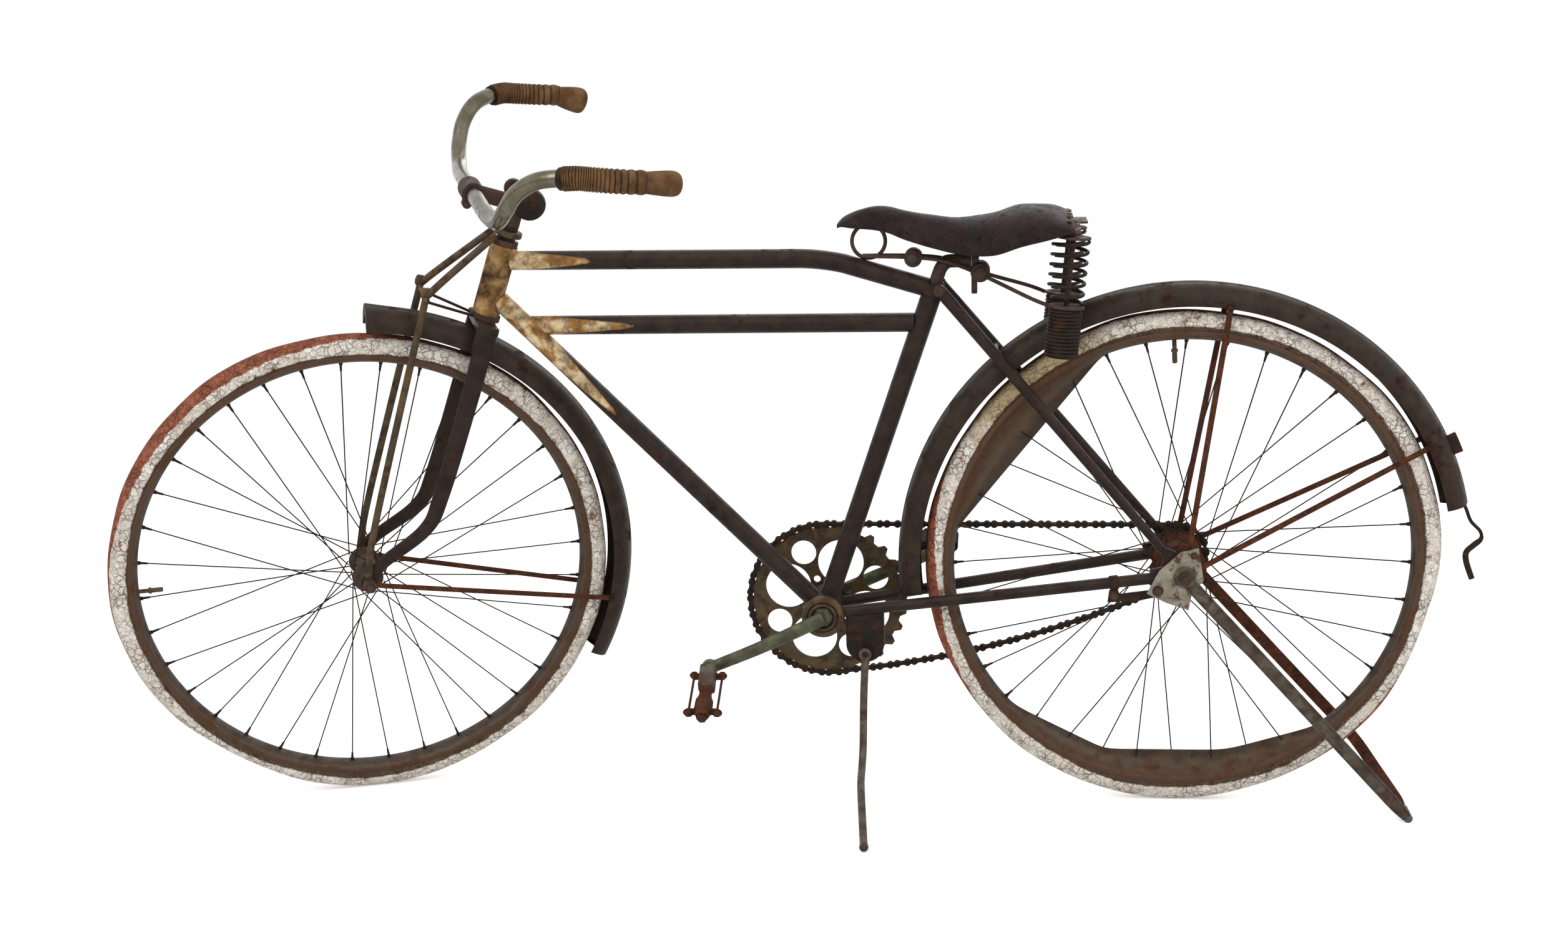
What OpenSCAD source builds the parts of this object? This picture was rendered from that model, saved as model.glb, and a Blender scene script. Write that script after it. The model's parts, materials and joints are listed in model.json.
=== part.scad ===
// Old steel roadster bicycle, parked on its side stand with the front wheel turned to the left.
// Everything is drawn on an upright bicycle first: X runs to the rear, Y to the rider's right and
// Z up, with X = 0 halfway between the hubs. steered() turns what the fork carries, and parked()
// leans the whole bicycle on its side stand and sets both tyres on the floor, Z = 0.

/* [Stance] */
// Lean towards the side stand, in degrees
lean = 5; // [3:0.5:9]
// Turn of the handlebar to the rider's left, in degrees
steer = 23.5; // [0:0.5:30]

/* [Wheels] */
// Distance between the two hubs
wheelbase = 1166; // [1120:2:1300]
// Outer radius of a tyre
wheel_r = 355; // [320:1:375]
// Radius of a tyre's tube
tyre_r = 19; // [16:0.5:21]
// Width of a rim across its edges
rim_w = 34; // [28:0.5:36]
// Spokes in each wheel
spoke_count = 36; // [24:4:40]
// Thickness of a spoke
spoke_d = 1.8; // [1.6:0.1:2.2]
// Radius of the front hub's flanges
front_flange_r = 22; // [18:0.5:28]
// Radius of the rear hub's flanges
rear_flange_r = 34; // [30:0.5:38]
// Thickness of both axles
axle_d = 9.5; // [8:0.1:11]

/* [Frame] */
// Slope of the steering axis from the floor, in degrees
head_angle = 70.2; // [67:0.1:73]
// How far the front hub stands ahead of the steering axis
fork_offset = 69.6; // [55:0.2:80]
// Length of the head tube
head_len = 99; // [80:1:120]
// Diameter of the head tube
head_d = 38; // [35:0.5:42]
// Diameter of the upper and lower bars
bar_d = 26; // [22:0.5:30]
// Diameter of the down tube
down_d = 27; // [24:0.5:30]
// Diameter of the seat tube
seat_tube_d = 28; // [26:0.5:32]
// Diameter of a seat stay
seat_stay_d = 17; // [14:0.5:18]
// Diameter of a chain stay
chain_stay_d = 16; // [14:0.5:17]
// Height of the bottom bracket's centre
bb_z = 285; // [270:1:300]
// Distance from the bottom bracket to the rear hub, measured along the floor
bb_to_hub = 498; // [480:1:520]
// Outer diameter of the bottom bracket shell
bb_d = 54; // [50:1:58]
// Width of the bottom bracket shell
bb_w = 70; // [66:1:74]

/* [Drive] */
// Teeth on the chainring, one to each link
ring_teeth = 28; // [24:2:30]
// Teeth on the rear cog
cog_teeth = 10; // [9:1:12]
// Pitch of the block chain
pitch = 25.4; // [25.4]
// Distance of the chain's middle from the bicycle's middle plane
chain_y = 47.5; // [46:0.5:50]
// Length of a crank arm between centres
crank_len = 174; // [160:1:178]

/* [Fenders and stands] */
// Width of both fenders
fender_w = 50; // [46:1:54]
// Thickness of the fenders' sheet
fender_t = 1.6; // [1.2:0.1:2.5]
// Clear height between a tyre and its fender's crown
fender_gap = 34; // [28:1:38]
// Length of the rear stand from the axle to its foot
rear_stand_len = 462; // [455:1:475]
// Sideways reach of the side stand's foot from the middle plane
side_foot_y = 250; // [230:1:260]

/* [Hidden] */
$fn = 48;

// ---- Places worked out from the sizes above ----
hub_x = wheelbase / 2;
axle_r = axle_d / 2;
run_fit = 0.1;                          // running clearance on a pin
swing_fit = 0.3;                        // clearance of the rear stand's eyes, all round
seat_gap = 0.3;                         // air left between a piece and the one that carries it
front_hub_p = [-hub_x, 0, wheel_r];
rear_hub_p = [hub_x, 0, wheel_r];
bb = [hub_x - bb_to_hub, 0, bb_z];
ring_line = wheel_r - tyre_r;           // radius of the tyre tube's own centre line
steer_dir = [cos(head_angle), 0, sin(head_angle)];
steer_back = [sin(head_angle), 0, -cos(head_angle)];
steer_foot = front_hub_p + fork_offset * steer_back;
function on_axis(s, q = 0, y = 0) = steer_foot + s * steer_dir + q * steer_back + [0, y, 0];

// The steering column, measured up the steering axis from the point nearest the front hub
fender_r = wheel_r + fender_gap + fender_t;
crown_s = sqrt(pow(fender_r, 2) - pow(fork_offset, 2)) + 6;
crown_h = 12;
cup_h = 8;
head_s = crown_s + crown_h + cup_h;
head_top_s = head_s + head_len;
column_top_s = head_top_s + cup_h + 20;
column_r = 12.7;

// Stacks of pieces along the two axles, as distances from the middle plane
fork_tip_y = 50;
fork_tip_t = 5;
eye_t = 2.5;
nut_h = 9;
front_stay_y = fork_tip_y + fork_tip_t;
truss_y = front_stay_y + eye_t;
front_nut_y = truss_y + eye_t;
front_axle_y = front_nut_y + nut_h + 6;
dropout_y = 61;
dropout_t = 5;
rear_stay_y = dropout_y + dropout_t;
plate_y = rear_stay_y + eye_t;
plate_t = 3;
stand_y = plate_y + plate_t;
stand_t = 4;
rear_nut_y = stand_y + stand_t;
rear_axle_y = rear_nut_y + nut_h + 6;

// Vectors
function unit(v) = v / norm(v);
function turn(v, a, t) = v * cos(t) + cross(a, v) * sin(t) + a * (a * v) * (1 - cos(t));
function mirror_y(p) = [for (q = p) [q.x, -q.y, q.z]];

// Height above the floor. up() is the height gained along a vector once the bicycle is leant and trimmed.
function up_at(trim, v) = -v.x * sin(trim) + (v.y * sin(lean) + v.z * cos(lean)) * cos(trim);
turned_hub = steer_foot + turn(front_hub_p - steer_foot, steer_dir, steer);
turned_axle = turn([0, 1, 0], steer_dir, steer);
function front_low(trim) = up_at(trim, turned_hub - [hub_x, 0, tyre_r])
    - ring_line * sqrt(1 - pow(up_at(trim, turned_axle), 2));
trim_1 = asin(-front_low(0) / wheelbase);
trim_2 = trim_1 + asin(-front_low(trim_1) / wheelbase);
trim = trim_2 + asin(-front_low(trim_2) / wheelbase);
function up(v) = up_at(trim, v);
function height(p) = up(p - [hub_x, 0, tyre_r]) + tyre_r;

// Origin of the part: the middle of its footprint, on the floor
origin_x = 40.4;
origin_y = -53.0;

module parked() {
    translate([hub_x - origin_x, -origin_y, tyre_r]) rotate([0, trim, 0]) rotate([lean, 0, 0])
        translate([-hub_x, 0, -tyre_r]) children();
}
module steered() {
    parked() translate(steer_foot) rotate(a = steer, v = steer_dir) translate(-steer_foot) children();
}

// ---- Shared shapes ----
// A straight round bar from a to b, whose radius at b may be given as end_r
module rod(a, b, r, end_r = 0) {
    d = b - a;
    translate(a) rotate([0, acos(d.z / norm(d)), atan2(d.y, d.x)])
        cylinder(h = norm(d), r1 = r, r2 = end_r > 0 ? end_r : r);
}
// A ring or a hollow round bar about the Y direction, from y0 to y1
module y_ring(p, y0, y1, r, bore = 0) {
    translate([p.x, y0, p.z]) rotate([-90, 0, 0]) difference() {
        cylinder(h = y1 - y0, r = r);
        if (bore > 0) translate([0, 0, -1]) cylinder(h = y1 - y0 + 2, r = bore);
    }
}
// A round shape about the Y direction, its angles counted from +X towards +Z
module spun(p, angle = 360) {
    translate(p) rotate([90, 0, 0]) rotate_extrude(angle = angle, $fn = 96) children();
}
// A flat plate in the X-Z plane, from y0 to y0 + t
module plate(p, y0, t) {
    translate([p.x, y0 + t, p.z]) rotate([90, 0, 0]) linear_extrude(t) children();
}
// A smooth line through the points p, with k steps from each to the next
function between(a, b, c, d, t) = 0.5 * (2 * b + (c - a) * t + (2 * a - 5 * b + 4 * c - d) * t * t
    + (3 * b - 3 * c + d - a) * t * t * t);
function smooth(p, k = 4) = [for (i = [0 : len(p) - 2]) for (j = [0 : k - 1])
    between(p[max(i - 1, 0)], p[i], p[i + 1], p[min(i + 2, len(p) - 1)], j / k), p[len(p) - 1]];
function part_way(v, t) = is_list(v) ? v[0] + (v[1] - v[0]) * t : v;
// An oval bar along a path: b is its half width along the direction side, a the half width across it
module sweep(path, a, b, side = [0, 1, 0], sides = 12) {
    n = len(path);
    tangents = [for (i = [0 : n - 1]) unit(path[min(i + 1, n - 1)] - path[max(i - 1, 0)])];
    points = [for (i = [0 : n - 1]) let (t = tangents[i], w = unit(side - (side * t) * t), u = cross(w, t))
        for (j = [0 : sides - 1]) let (q = 360 * j / sides)
            path[i] + part_way(a, i / (n - 1)) * cos(q) * u + part_way(b, i / (n - 1)) * sin(q) * w];
    walls = [for (i = [0 : n - 2]) for (j = [0 : sides - 1]) let (k = (j + 1) % sides)
        [i * sides + j, (i + 1) * sides + j, (i + 1) * sides + k, i * sides + k]];
    first = [[for (j = [0 : sides - 1]) j]];
    last = [[for (j = [sides - 1 : -1 : 0]) (n - 1) * sides + j]];
    polyhedron(points, concat(walls, first, last), convexity = 8);
}

// ---- Frame ----
module head_axis_bar(s0, s1, r) { rod(on_axis(s0), on_axis(s1), r); }
module head_axis_ring(s0, s1, r, bore) {
    difference() {
        head_axis_bar(s0, s1, r);
        head_axis_bar(s0 - 1, s1 + 1, bore);
    }
}
upper_z = 789;                          // height of the upper bar at the head
lower_z = 699;                          // height of the lower bar
down_s = head_s + 30;                   // where the down tube meets the head tube
seat_top = [bb.x + 161, 0, bb_z + 462];
seat_dir = unit(seat_top - bb);
function on_seat(z) = bb + seat_dir * ((z - bb.z) / seat_dir.z);
function axis_at(z) = on_axis((z - steer_foot.z) / steer_dir.z);
down_top = on_axis(down_s);
function on_down(z) = down_top + (bb - down_top) * ((down_top.z - z) / (down_top.z - bb.z));
upper_front = axis_at(upper_z);
upper_bend = [55, 0, upper_z - 4];
upper_turn = 13;                        // slope of the upper bar behind its bend, in degrees
upper_bend_r = 300;
upper_end = on_seat(741);

module head_tube() {
    color("#a98c5c") parked() head_axis_ring(head_s, head_top_s, head_d / 2, column_r + run_fit);
}
module headset() {
    color("#4a382c") parked() {
        head_axis_ring(crown_s + crown_h + seat_gap, head_s, head_d / 2 + 2, column_r + run_fit);
        head_axis_ring(head_top_s, head_top_s + cup_h, head_d / 2 - 1, column_r + run_fit);
    }
}
module head_cut() { head_axis_bar(head_s - 1, head_top_s + 1, head_d / 2); }
module seat_cut() { rod(bb - seat_dir * 5, seat_top + seat_dir * 12, seat_tube_d / 2); }
module down_cut() { rod(down_top, bb, down_d / 2); }
module bb_cut() { y_ring(bb, -bb_w, bb_w, bb_d / 2); }

// The upper bar runs level, bends once and drops to the seat tube
bend_line = [for (i = [0 : 6]) let (a = upper_turn * i / 6)
    upper_bend + upper_bend_r * [sin(a), 0, cos(a) - 1]];
module upper_bar() {
    color("#3a2f30") parked() difference() {
        sweep(concat([upper_front], bend_line, [upper_end]), bar_d / 2, bar_d / 2, [0, 1, 0], 28);
        head_cut();
        seat_cut();
    }
}
module lower_bar() {
    color("#3a2f30") parked() difference() {
        rod(on_down(lower_z), on_seat(lower_z - 3), bar_d / 2);
        down_cut();
        seat_cut();
        head_cut();
    }
}
module down_tube() {
    color("#3a2f30") parked() difference() {
        rod(down_top, bb, down_d / 2);
        head_cut();
        bb_cut();
    }
}
module seat_tube() {
    color("#3a2f30") parked() difference() {
        rod(bb, seat_top, seat_tube_d / 2);
        bb_cut();
        down_cut();
    }
}
module bottom_bracket() {
    color("#4a4034") parked() y_ring(bb, -bb_w / 2, bb_w / 2, bb_d / 2, 20);
}
// The stays run from the seat lug and the bottom bracket to the dropouts
stay_top = on_seat(743) + [8, 0, 0];
stay_top_y = 27;
stay_end_y = dropout_y - 1.2;
seat_stay_end = rear_hub_p + [-20, 0, 24];
chain_stay_start = bb + [14, 0, 2];
chain_stay_end = rear_hub_p + [-30, 0, -4];
seat_stay_run = seat_stay_end - stay_top;
seat_gap_a = seat_stay_run * seat_stay_run;
seat_gap_b = 2 * (stay_top - rear_hub_p) * seat_stay_run;
stay_tip_r = 6;                         // radius of a seat stay at the dropout
bridge_r = 5;
bridge_reach = fender_r + bridge_r + seat_gap;
seat_gap_c = (stay_top - rear_hub_p) * (stay_top - rear_hub_p) - bridge_reach * bridge_reach;
seat_bridge_t = (-seat_gap_b - sqrt(seat_gap_b * seat_gap_b - 4 * seat_gap_a * seat_gap_c)) / (2 * seat_gap_a);
seat_bridge = stay_top + seat_bridge_t * seat_stay_run;
seat_bridge_y = stay_top_y + seat_bridge_t * (stay_end_y - stay_top_y);
module seat_stays() {
    color("#3a2f30") parked() difference() {
        union() {
            for (s = [-1, 1])
                rod(stay_top + [0, s * stay_top_y, 0], seat_stay_end + [0, s * stay_end_y, 0], seat_stay_d / 2,
                    stay_tip_r);
            y_ring(seat_bridge, -seat_bridge_y, seat_bridge_y, bridge_r);
        }
        for (s = [-1, 1]) dropout_cut(s);
    }
}
// The rear fender runs from behind the bottom bracket, over the wheel, to its tip
fender_tip_a = 12.5;
fender_end_a = 186.5;
function around_rear(a, r, y = 0) = rear_hub_p + [r * cos(a), y, r * sin(a)];
function around_front(a, r, y = 0) = front_hub_p + [r * cos(a), y, r * sin(a)];
chain_bridge = around_rear(fender_end_a + (bridge_r + seat_gap) / fender_r * 180 / PI, fender_r - 3);
module chain_stays() {
    color("#3a2f30") parked() difference() {
        union() {
            for (s = [-1, 1])
                rod(chain_stay_start + [0, s * 24, 0], chain_stay_end + [0, s * stay_end_y, 0], chain_stay_d / 2);
            y_ring(chain_bridge, -30, 30, bridge_r);
        }
        bb_cut();
        for (s = [-1, 1]) dropout_cut(s);
    }
}
module dropout_shape() {
    difference() {
        union() {
            circle(15);
            polygon([[-46, -14], [-46, 8], [-30, 12], [-28, 40], [-12, 34], [8, 13], [0, -15]]);
        }
        circle(axle_r + run_fit);
    }
}
module dropout_cut(s) {
    plate(rear_hub_p, s > 0 ? dropout_y : -dropout_y - dropout_t, dropout_t) dropout_shape();
}
module dropouts() {
    color("#33292a") parked() for (s = [-1, 1])
        plate(rear_hub_p, s > 0 ? dropout_y : -dropout_y - dropout_t, dropout_t) dropout_shape();
}

// The seat cluster: a collar on the seat tube with a cross bolt that carries both seat stays
module seat_lug() {
    color("#33292a") parked() difference() {
        union() {
            rod(on_seat(733), on_seat(746), seat_tube_d / 2 + 3);
            y_ring(stay_top, -stay_top_y + seat_stay_d / 2, stay_top_y - seat_stay_d / 2, 6);
        }
        seat_cut();
        rod(upper_bend + upper_bend_r * [sin(upper_turn), 0, cos(upper_turn) - 1], upper_end, bar_d / 2);
    }
}

// ---- Saddle ----
post_r = 9;
post_corner = on_seat(778);
post_end = post_corner + [38, 0, 0];
module seat_post() {
    color("#5a4636") parked() sweep([seat_top, post_corner - seat_dir * 12, post_corner - seat_dir * 4 + [3, 0, 0],
        post_corner + [8, 0, 0], post_end], post_r, post_r, [0, 1, 0], 16);
}
wire_r = 2.6;
nose_ring = [157, 0, 806.5];
nose_ring_r = 22.5;
front_clamp = [217, 0, 784];
rear_clamp = post_end + [12, 0, -14];
spring_y = 60;
spring_low = [413, 0, 656];
spring_high = [428, 0, 812];
spring_dir = unit(spring_high - spring_low);
spring_mid = spring_low + 66 * spring_dir;
spring_r = 23;
coil_wire_r = 2.4;
module wire(points, r = wire_r, k = 4, sides = 8) { sweep(smooth(points, k), r, r, [0, 0.3, 1], sides); }
module spring_axis_bar(s, a, b, r) { rod(a + [0, s * spring_y, 0], b + [0, s * spring_y, 0], r); }
seat_h = 3.5;                           // height of a spring's end seat
// The plate under the leather's rear edge, as points across its width
cantle_x = [418, 438];
cantle_y = 75;
function cantle_z(y) = 830.3 - 12.1 * (1 - sqrt(1 - pow(y / 76.5, 2)));
cantle_line = [for (y = [-cantle_y : 15 : cantle_y]) [y, cantle_z(y)]];
cantle_low = [for (i = [len(cantle_line) - 1 : -1 : 0]) cantle_line[i] - [0, 3]];
module saddle_frame() {
    color("#2e2722") parked() union() {
        spun(nose_ring) translate([nose_ring_r, 0]) circle(wire_r);
        translate(nose_ring + [-14, -8, nose_ring_r - 2]) cube([30, 16, 12.6]);
        y_ring(front_clamp, -14, 14, 12);
        y_ring(rear_clamp, -18, 18, 13);
        translate(post_end + [seat_gap, -12, -18]) cube([10, 24, 27]);
        rod(rear_clamp - [8, 0, 0], rear_clamp - [8, 0, 30], 4);
        for (s = [-1, 1]) {
            wire([nose_ring + [-9, s * 4, -nose_ring_r + 3], front_clamp + [0, s * 10, 1],
                front_clamp + [45, s * 14, -5], rear_clamp + [3, s * 14, -4],
                spring_mid + [-48, s * (spring_y - 3), 14], spring_mid + [-spring_r - 0.9, s * spring_y, 4.2]]);
            spring_axis_bar(s, spring_mid + seat_gap * spring_dir, spring_mid + seat_h * spring_dir,
                spring_r + 1.5);
            spring_axis_bar(s, spring_high + seat_gap * spring_dir, spring_high + seat_h * spring_dir, spring_r);
            spring_axis_bar(s, spring_mid + seat_gap * spring_dir,
                spring_high + (cantle_z(spring_y) - spring_high.z - 2) * spring_dir, 3.5);
        }
        translate([cantle_x[0], 0, 0]) rotate([90, 0, 90]) linear_extrude(cantle_x[1] - cantle_x[0])
            polygon(concat(cantle_line, cantle_low));
    }
}
coil_turns = 6;
coil_steps = 14;
coil_r = spring_r - coil_wire_r;
coil_low = spring_mid + (seat_h + coil_wire_r + seat_gap) * spring_dir;
coil_high = spring_high - coil_wire_r * spring_dir;
module saddle_springs() {
    n = coil_turns * coil_steps;
    color("#241f1c") parked() for (s = [-1, 1]) {
        spring_axis_bar(s, spring_low, spring_mid, spring_r);
        sweep([for (i = [0 : n]) coil_low + (coil_high - coil_low) * i / n + [0, s * spring_y, 0]
            + coil_r * (cos(360 * i / coil_steps) * [spring_dir.z, 0, -spring_dir.x]
            + [0, sin(360 * i / coil_steps), 0])],
            coil_wire_r, coil_wire_r, [0, 0, 1], 6);
    }
}

// A leather top: a thin saddle shape from nose to rear, given by its stations along X
// Each station: [x, height of the crown, half width, drop of the edge]
leather_t = 5;
leather_stations = [
    [118, 838, 14, 12], [132, 846, 22, 18], [165, 849, 27, 24], [205, 838, 31, 28], [245, 825, 37, 30],
    [285, 817, 48, 30], [325, 820, 66, 28], [360, 832, 82, 26], [395, 840, 90, 24], [425, 840, 88, 20],
    [441, 835, 80, 14]];
module saddle_leather() {
    sides = 11;
    n = len(leather_stations);
    points = [for (q = leather_stations) each concat(
        [for (j = [0 : sides - 1]) let (t = -90 + 180 * j / (sides - 1))
            [q[0], q[2] * sin(t), q[1] - q[3] * (1 - cos(t))]],
        [for (j = [sides - 1 : -1 : 0]) let (t = -90 + 180 * j / (sides - 1))
            [q[0], (q[2] - leather_t) * sin(t), q[1] - leather_t - (q[3] - leather_t * 0.6) * (1 - cos(t))]])];
    m = 2 * sides;
    walls = [for (i = [0 : n - 2]) for (j = [0 : m - 1]) let (k = (j + 1) % m)
        each [[i * m + j, (i + 1) * m + j, (i + 1) * m + k], [i * m + j, (i + 1) * m + k, i * m + k]]];
    caps = [for (i = [0, n - 1]) for (j = [0 : sides - 2]) let (a = i * m + j, b = i * m + m - 1 - j)
        each (i == 0 ? [[a, a + 1, b], [a + 1, b - 1, b]] : [[a, b, a + 1], [a + 1, b, b - 1]])];
    color("#2b2123") parked() polyhedron(points, concat(walls, caps), convexity = 6);
}

// ---- Fenders and their stays ----
skirt = fender_w / 2 + 4;               // depth of a fender from its crown to its edge
module fender_profile() {
    half = fender_w / 2;
    difference() {
        union() {
            translate([fender_r - half, 0]) intersection() {
                circle(half);
                translate([0, -half]) square([half, fender_w]);
            }
            translate([fender_r - skirt, -half]) square([skirt - half, fender_w]);
        }
        translate([fender_r - half, 0]) circle(half - fender_t);
        translate([fender_r - skirt - 1, -half + fender_t]) square([skirt - half + 1, fender_w - 2 * fender_t]);
    }
}
module rear_fender() {
    color("#32292b") parked() translate(rear_hub_p) rotate([90, 0, 0]) rotate([0, 0, fender_tip_a])
        rotate_extrude(angle = fender_end_a - fender_tip_a, $fn = 96) fender_profile();
}
front_tip_a = 84;
front_end_a = -29;
module front_fender() {
    color("#32292b") steered() union() {
        translate(front_hub_p) rotate([90, 0, 0]) rotate([0, 0, front_end_a])
            rotate_extrude(angle = front_tip_a - front_end_a, $fn = 96) fender_profile();
        head_axis_bar(crown_s - 7.2, crown_s - seat_gap, 6);
    }
}
// A flat stay from an eye on the axle to the fender's edge
stay_half = 4;
module fender_stay(hub, y, s, a, reach) {
    difference() {
        union() {
            y_ring(hub, s > 0 ? y : -y - eye_t, s > 0 ? y + eye_t : -y, 9);
            sweep([hub + [5 * cos(a), s * (y + eye_t / 2), 5 * sin(a)],
                hub + [24 * cos(a), s * (y + eye_t / 2), 24 * sin(a)],
                hub + [reach * cos(a), s * (fender_w / 2 + eye_t / 2 + seat_gap), reach * sin(a)]],
                stay_half, eye_t / 2);
        }
        y_ring(hub, -y - 10, y + 10, axle_r + run_fit);
    }
}
rear_stay_reach = fender_r - skirt + 7;
module rear_fender_stays() {
    color("#6a3a28") parked() for (s = [-1, 1]) union() {
        fender_stay(rear_hub_p, rear_stay_y, s, 81.5, rear_stay_reach);
        fender_stay(rear_hub_p, rear_stay_y, s, 27.5, rear_stay_reach);
    }
}
module front_fender_stays() {
    color("#6a3a28") steered() for (s = [-1, 1])
        fender_stay(front_hub_p, front_stay_y, s, -14, rear_stay_reach);
}

// ---- Axles, brake arm, clip and bracket ----
module nut(p, y) {
    translate([p.x, y, p.z]) rotate([-90, 0, 0]) difference() {
        cylinder(h = nut_h, r = 9.5, $fn = 6);
        translate([0, 0, -1]) cylinder(h = nut_h + 2, r = axle_r);
    }
}
module axle(hub, end_y, nut_y) {
    y_ring(hub, -end_y, end_y, axle_r);
    nut(hub, nut_y);
    nut(hub, -nut_y - nut_h);
}
module rear_axle() {
    color("#6b4a35") parked() {
        axle(rear_hub_p, rear_axle_y, rear_nut_y);
        y_ring(rear_hub_p, plate_y, stand_y, 11, axle_r);
    }
}
module front_axle() { color("#5a4030") steered() axle(front_hub_p, front_axle_y, front_nut_y); }
module axle_plate() {
    color("#a89f8c") parked() plate(rear_hub_p, -stand_y, plate_t) difference() {
        polygon([[-50, -24], [-24, -37], [7, -48], [11, -22], [26, -6], [18, 40], [-6, 34], [-34, 8]]);
        circle(axle_r + run_fit);
    }
}
function on_chain_stay(t, s) = chain_stay_start + t * (chain_stay_end - chain_stay_start)
    + [0, s * (24 + t * (stay_end_y - 24)), 0];
strap_t = 0.86;                         // where the brake arm's strap goes round the chain stay
module brake_arm() {
    y = -dropout_y + 0.2;
    color("#3b2f2a") parked() union() {
        plate(rear_hub_p, y, 3) difference() {
            union() {
                circle(13);
                polygon([[-9, -9], [-32, -21], [-86, -28], [-88, -21.2], [-100, -22.9], [-102, -40], [-60, -38],
                    [-10, -24], [9, -9]]);
            }
            circle(axle_r + run_fit);
        }
        difference() {
            rod(on_chain_stay(strap_t - 0.013, -1), on_chain_stay(strap_t + 0.013, -1), chain_stay_d / 2 + 1.8);
            rod(on_chain_stay(strap_t - 0.1, -1), on_chain_stay(strap_t + 0.1, -1), chain_stay_d / 2 + run_fit);
        }
    }
}
clip_a = 24.9;
module stand_clip() {
    color("#2a2220") parked() translate(rear_hub_p) rotate([90, 0, 0]) rotate([0, 0, clip_a - 2])
        rotate_extrude(angle = 4) translate([fender_r + seat_gap, -3]) square([12, 6]);
}
// A bent wire hook that hangs from the rear fender's tip
hook_r = 2.5;
hook_line = [[373.9, 96.7], [376.6, 85.6], [382, 74], [389, 58], [402, 44], [404, 33], [395, 24], [386, 14], [387, 0], [396, -24]];
module hook() {
    color("#2a2220") parked() sweep(smooth([for (q = hook_line) rear_hub_p + [q[0], 0, q[1]]], 3),
        hook_r, hook_r, [0, 1, 0], 8);
}
stand_pivot = [bb.x + 59, -40, bb_z - 55];
stand_axis = unit([0.081, -0.955, 0.285]);
pin_r = 4;
module side_stand_bracket() {
    w = 54;
    color("#4a453c") parked() union() {
        difference() {
            plate([stand_pivot.x, 0, bb_z - 42], -32, 14) {
                circle(w / 2);
                translate([-w / 2, 0]) square([w, 50]);
            }
            rod(on_chain_stay(-0.2, -1), on_chain_stay(0.5, -1), chain_stay_d / 2 + seat_gap);
            rod(stand_pivot - stand_axis * 5, stand_pivot + stand_axis * 7, 10);
            bb_cut();
        }
        rod(stand_pivot - stand_axis * 10, stand_pivot + stand_axis * 7, pin_r);
    }
}

// ---- Chain, one fixed loop of side plates with its blocks between them ----
ring_r = pitch / (2 * sin(180 / ring_teeth));
cog_r = pitch / (2 * sin(180 / cog_teeth));
run_v = rear_hub_p - bb;
run_a = atan2(run_v.z, run_v.x);
run_lean = acos((ring_r - cog_r) / norm(run_v));
top_a = run_a + run_lean;
low_a = run_a - run_lean;
chain_sag = 22;
function on_circle(c, r, a) = [c.x + r * cos(a), c.z + r * sin(a)];
top_from = on_circle(rear_hub_p, cog_r, top_a);
top_to = on_circle(bb, ring_r, top_a);
low_from = on_circle(bb, ring_r, low_a);
low_to = on_circle(rear_hub_p, cog_r, low_a);
run_steps = 38;
function on_top(t) = top_from + (top_to - top_from) * t;
function on_low(t) = low_from + (low_to - low_from) * t - [0, 4 * chain_sag * t * (1 - t)];
chain_line = concat(
    [for (i = [0 : run_steps - 1]) on_top(i / run_steps)],
    [for (i = [0 : 29]) on_circle(bb, ring_r, top_a + (360 - 2 * run_lean) * i / 30)],
    [for (i = [0 : run_steps - 1]) on_low(i / run_steps)],
    [for (i = [0 : 7]) on_circle(rear_hub_p, cog_r, low_a + 2 * run_lean * i / 8)]);
function chain_edge(side) = let (n = len(chain_line)) [for (i = [0 : n - 1])
    let (t = unit(chain_line[(i + 1) % n] - chain_line[(i + n - 1) % n]), w = i % 2 == 0 ? 4.6 : 3.4)
        chain_line[i] + side * w * [t.y, -t.x]];
link_gap = 2.6;
link_t = 1.6;
module chain() {
    color("#3a2c20") parked() union() {
        for (y = [chain_y - link_gap - link_t, chain_y + link_gap]) plate([0, 0, 0], y, link_t) difference() {
            polygon(chain_edge(1));
            polygon(chain_edge(-1));
        }
        for (t = [0.14, 0.38, 0.62, 0.86]) for (q = [on_top(t), on_low(t)])
            y_ring([q.x, 0, q.y], chain_y - link_gap, chain_y + link_gap, 3);
    }
}

// ---- Drive ----
module toothed(teeth, r_pitch, tip) {
    step = 360 / teeth;
    polygon([for (i = [0 : teeth - 1]) for (q = [[-0.34, -5], [-0.12, tip], [0.12, tip], [0.34, -5]])
        (r_pitch + q[1]) * [cos((i + q[0]) * step), sin((i + q[0]) * step)]]);
}
ring_t = 3;
ring_turn = 70;                         // where the first large hole of the chainring stands
spindle_r = 11;
module chainring() {
    color("#6e5418") parked() plate(bb, chain_y - ring_t / 2, ring_t) difference() {
        rotate(low_a) toothed(ring_teeth, ring_r, 3);
        for (i = [0 : 3]) {
            rotate(ring_turn + 90 * i) translate([60, 0]) circle(33);
            rotate(ring_turn + 45 + 90 * i) translate([78, 0]) circle(18);
            rotate(ring_turn + 45 + 90 * i) translate([34, 0]) circle(5);
        }
        circle(spindle_r + run_fit);
    }
}
cog_bore = 21;
module rear_cog() {
    color("#5c4020") parked() plate(rear_hub_p, chain_y - ring_t / 2, ring_t) difference() {
        rotate(low_a) toothed(cog_teeth, cog_r, 3);
        circle(cog_bore);
    }
}
crank_a = 202.8;                        // where the left crank arm points, from +X towards +Z
pedal_eye_t = 14;
left_end_y = -66;
right_end_y = 68;
pedal_pin_r = 6;
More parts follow.
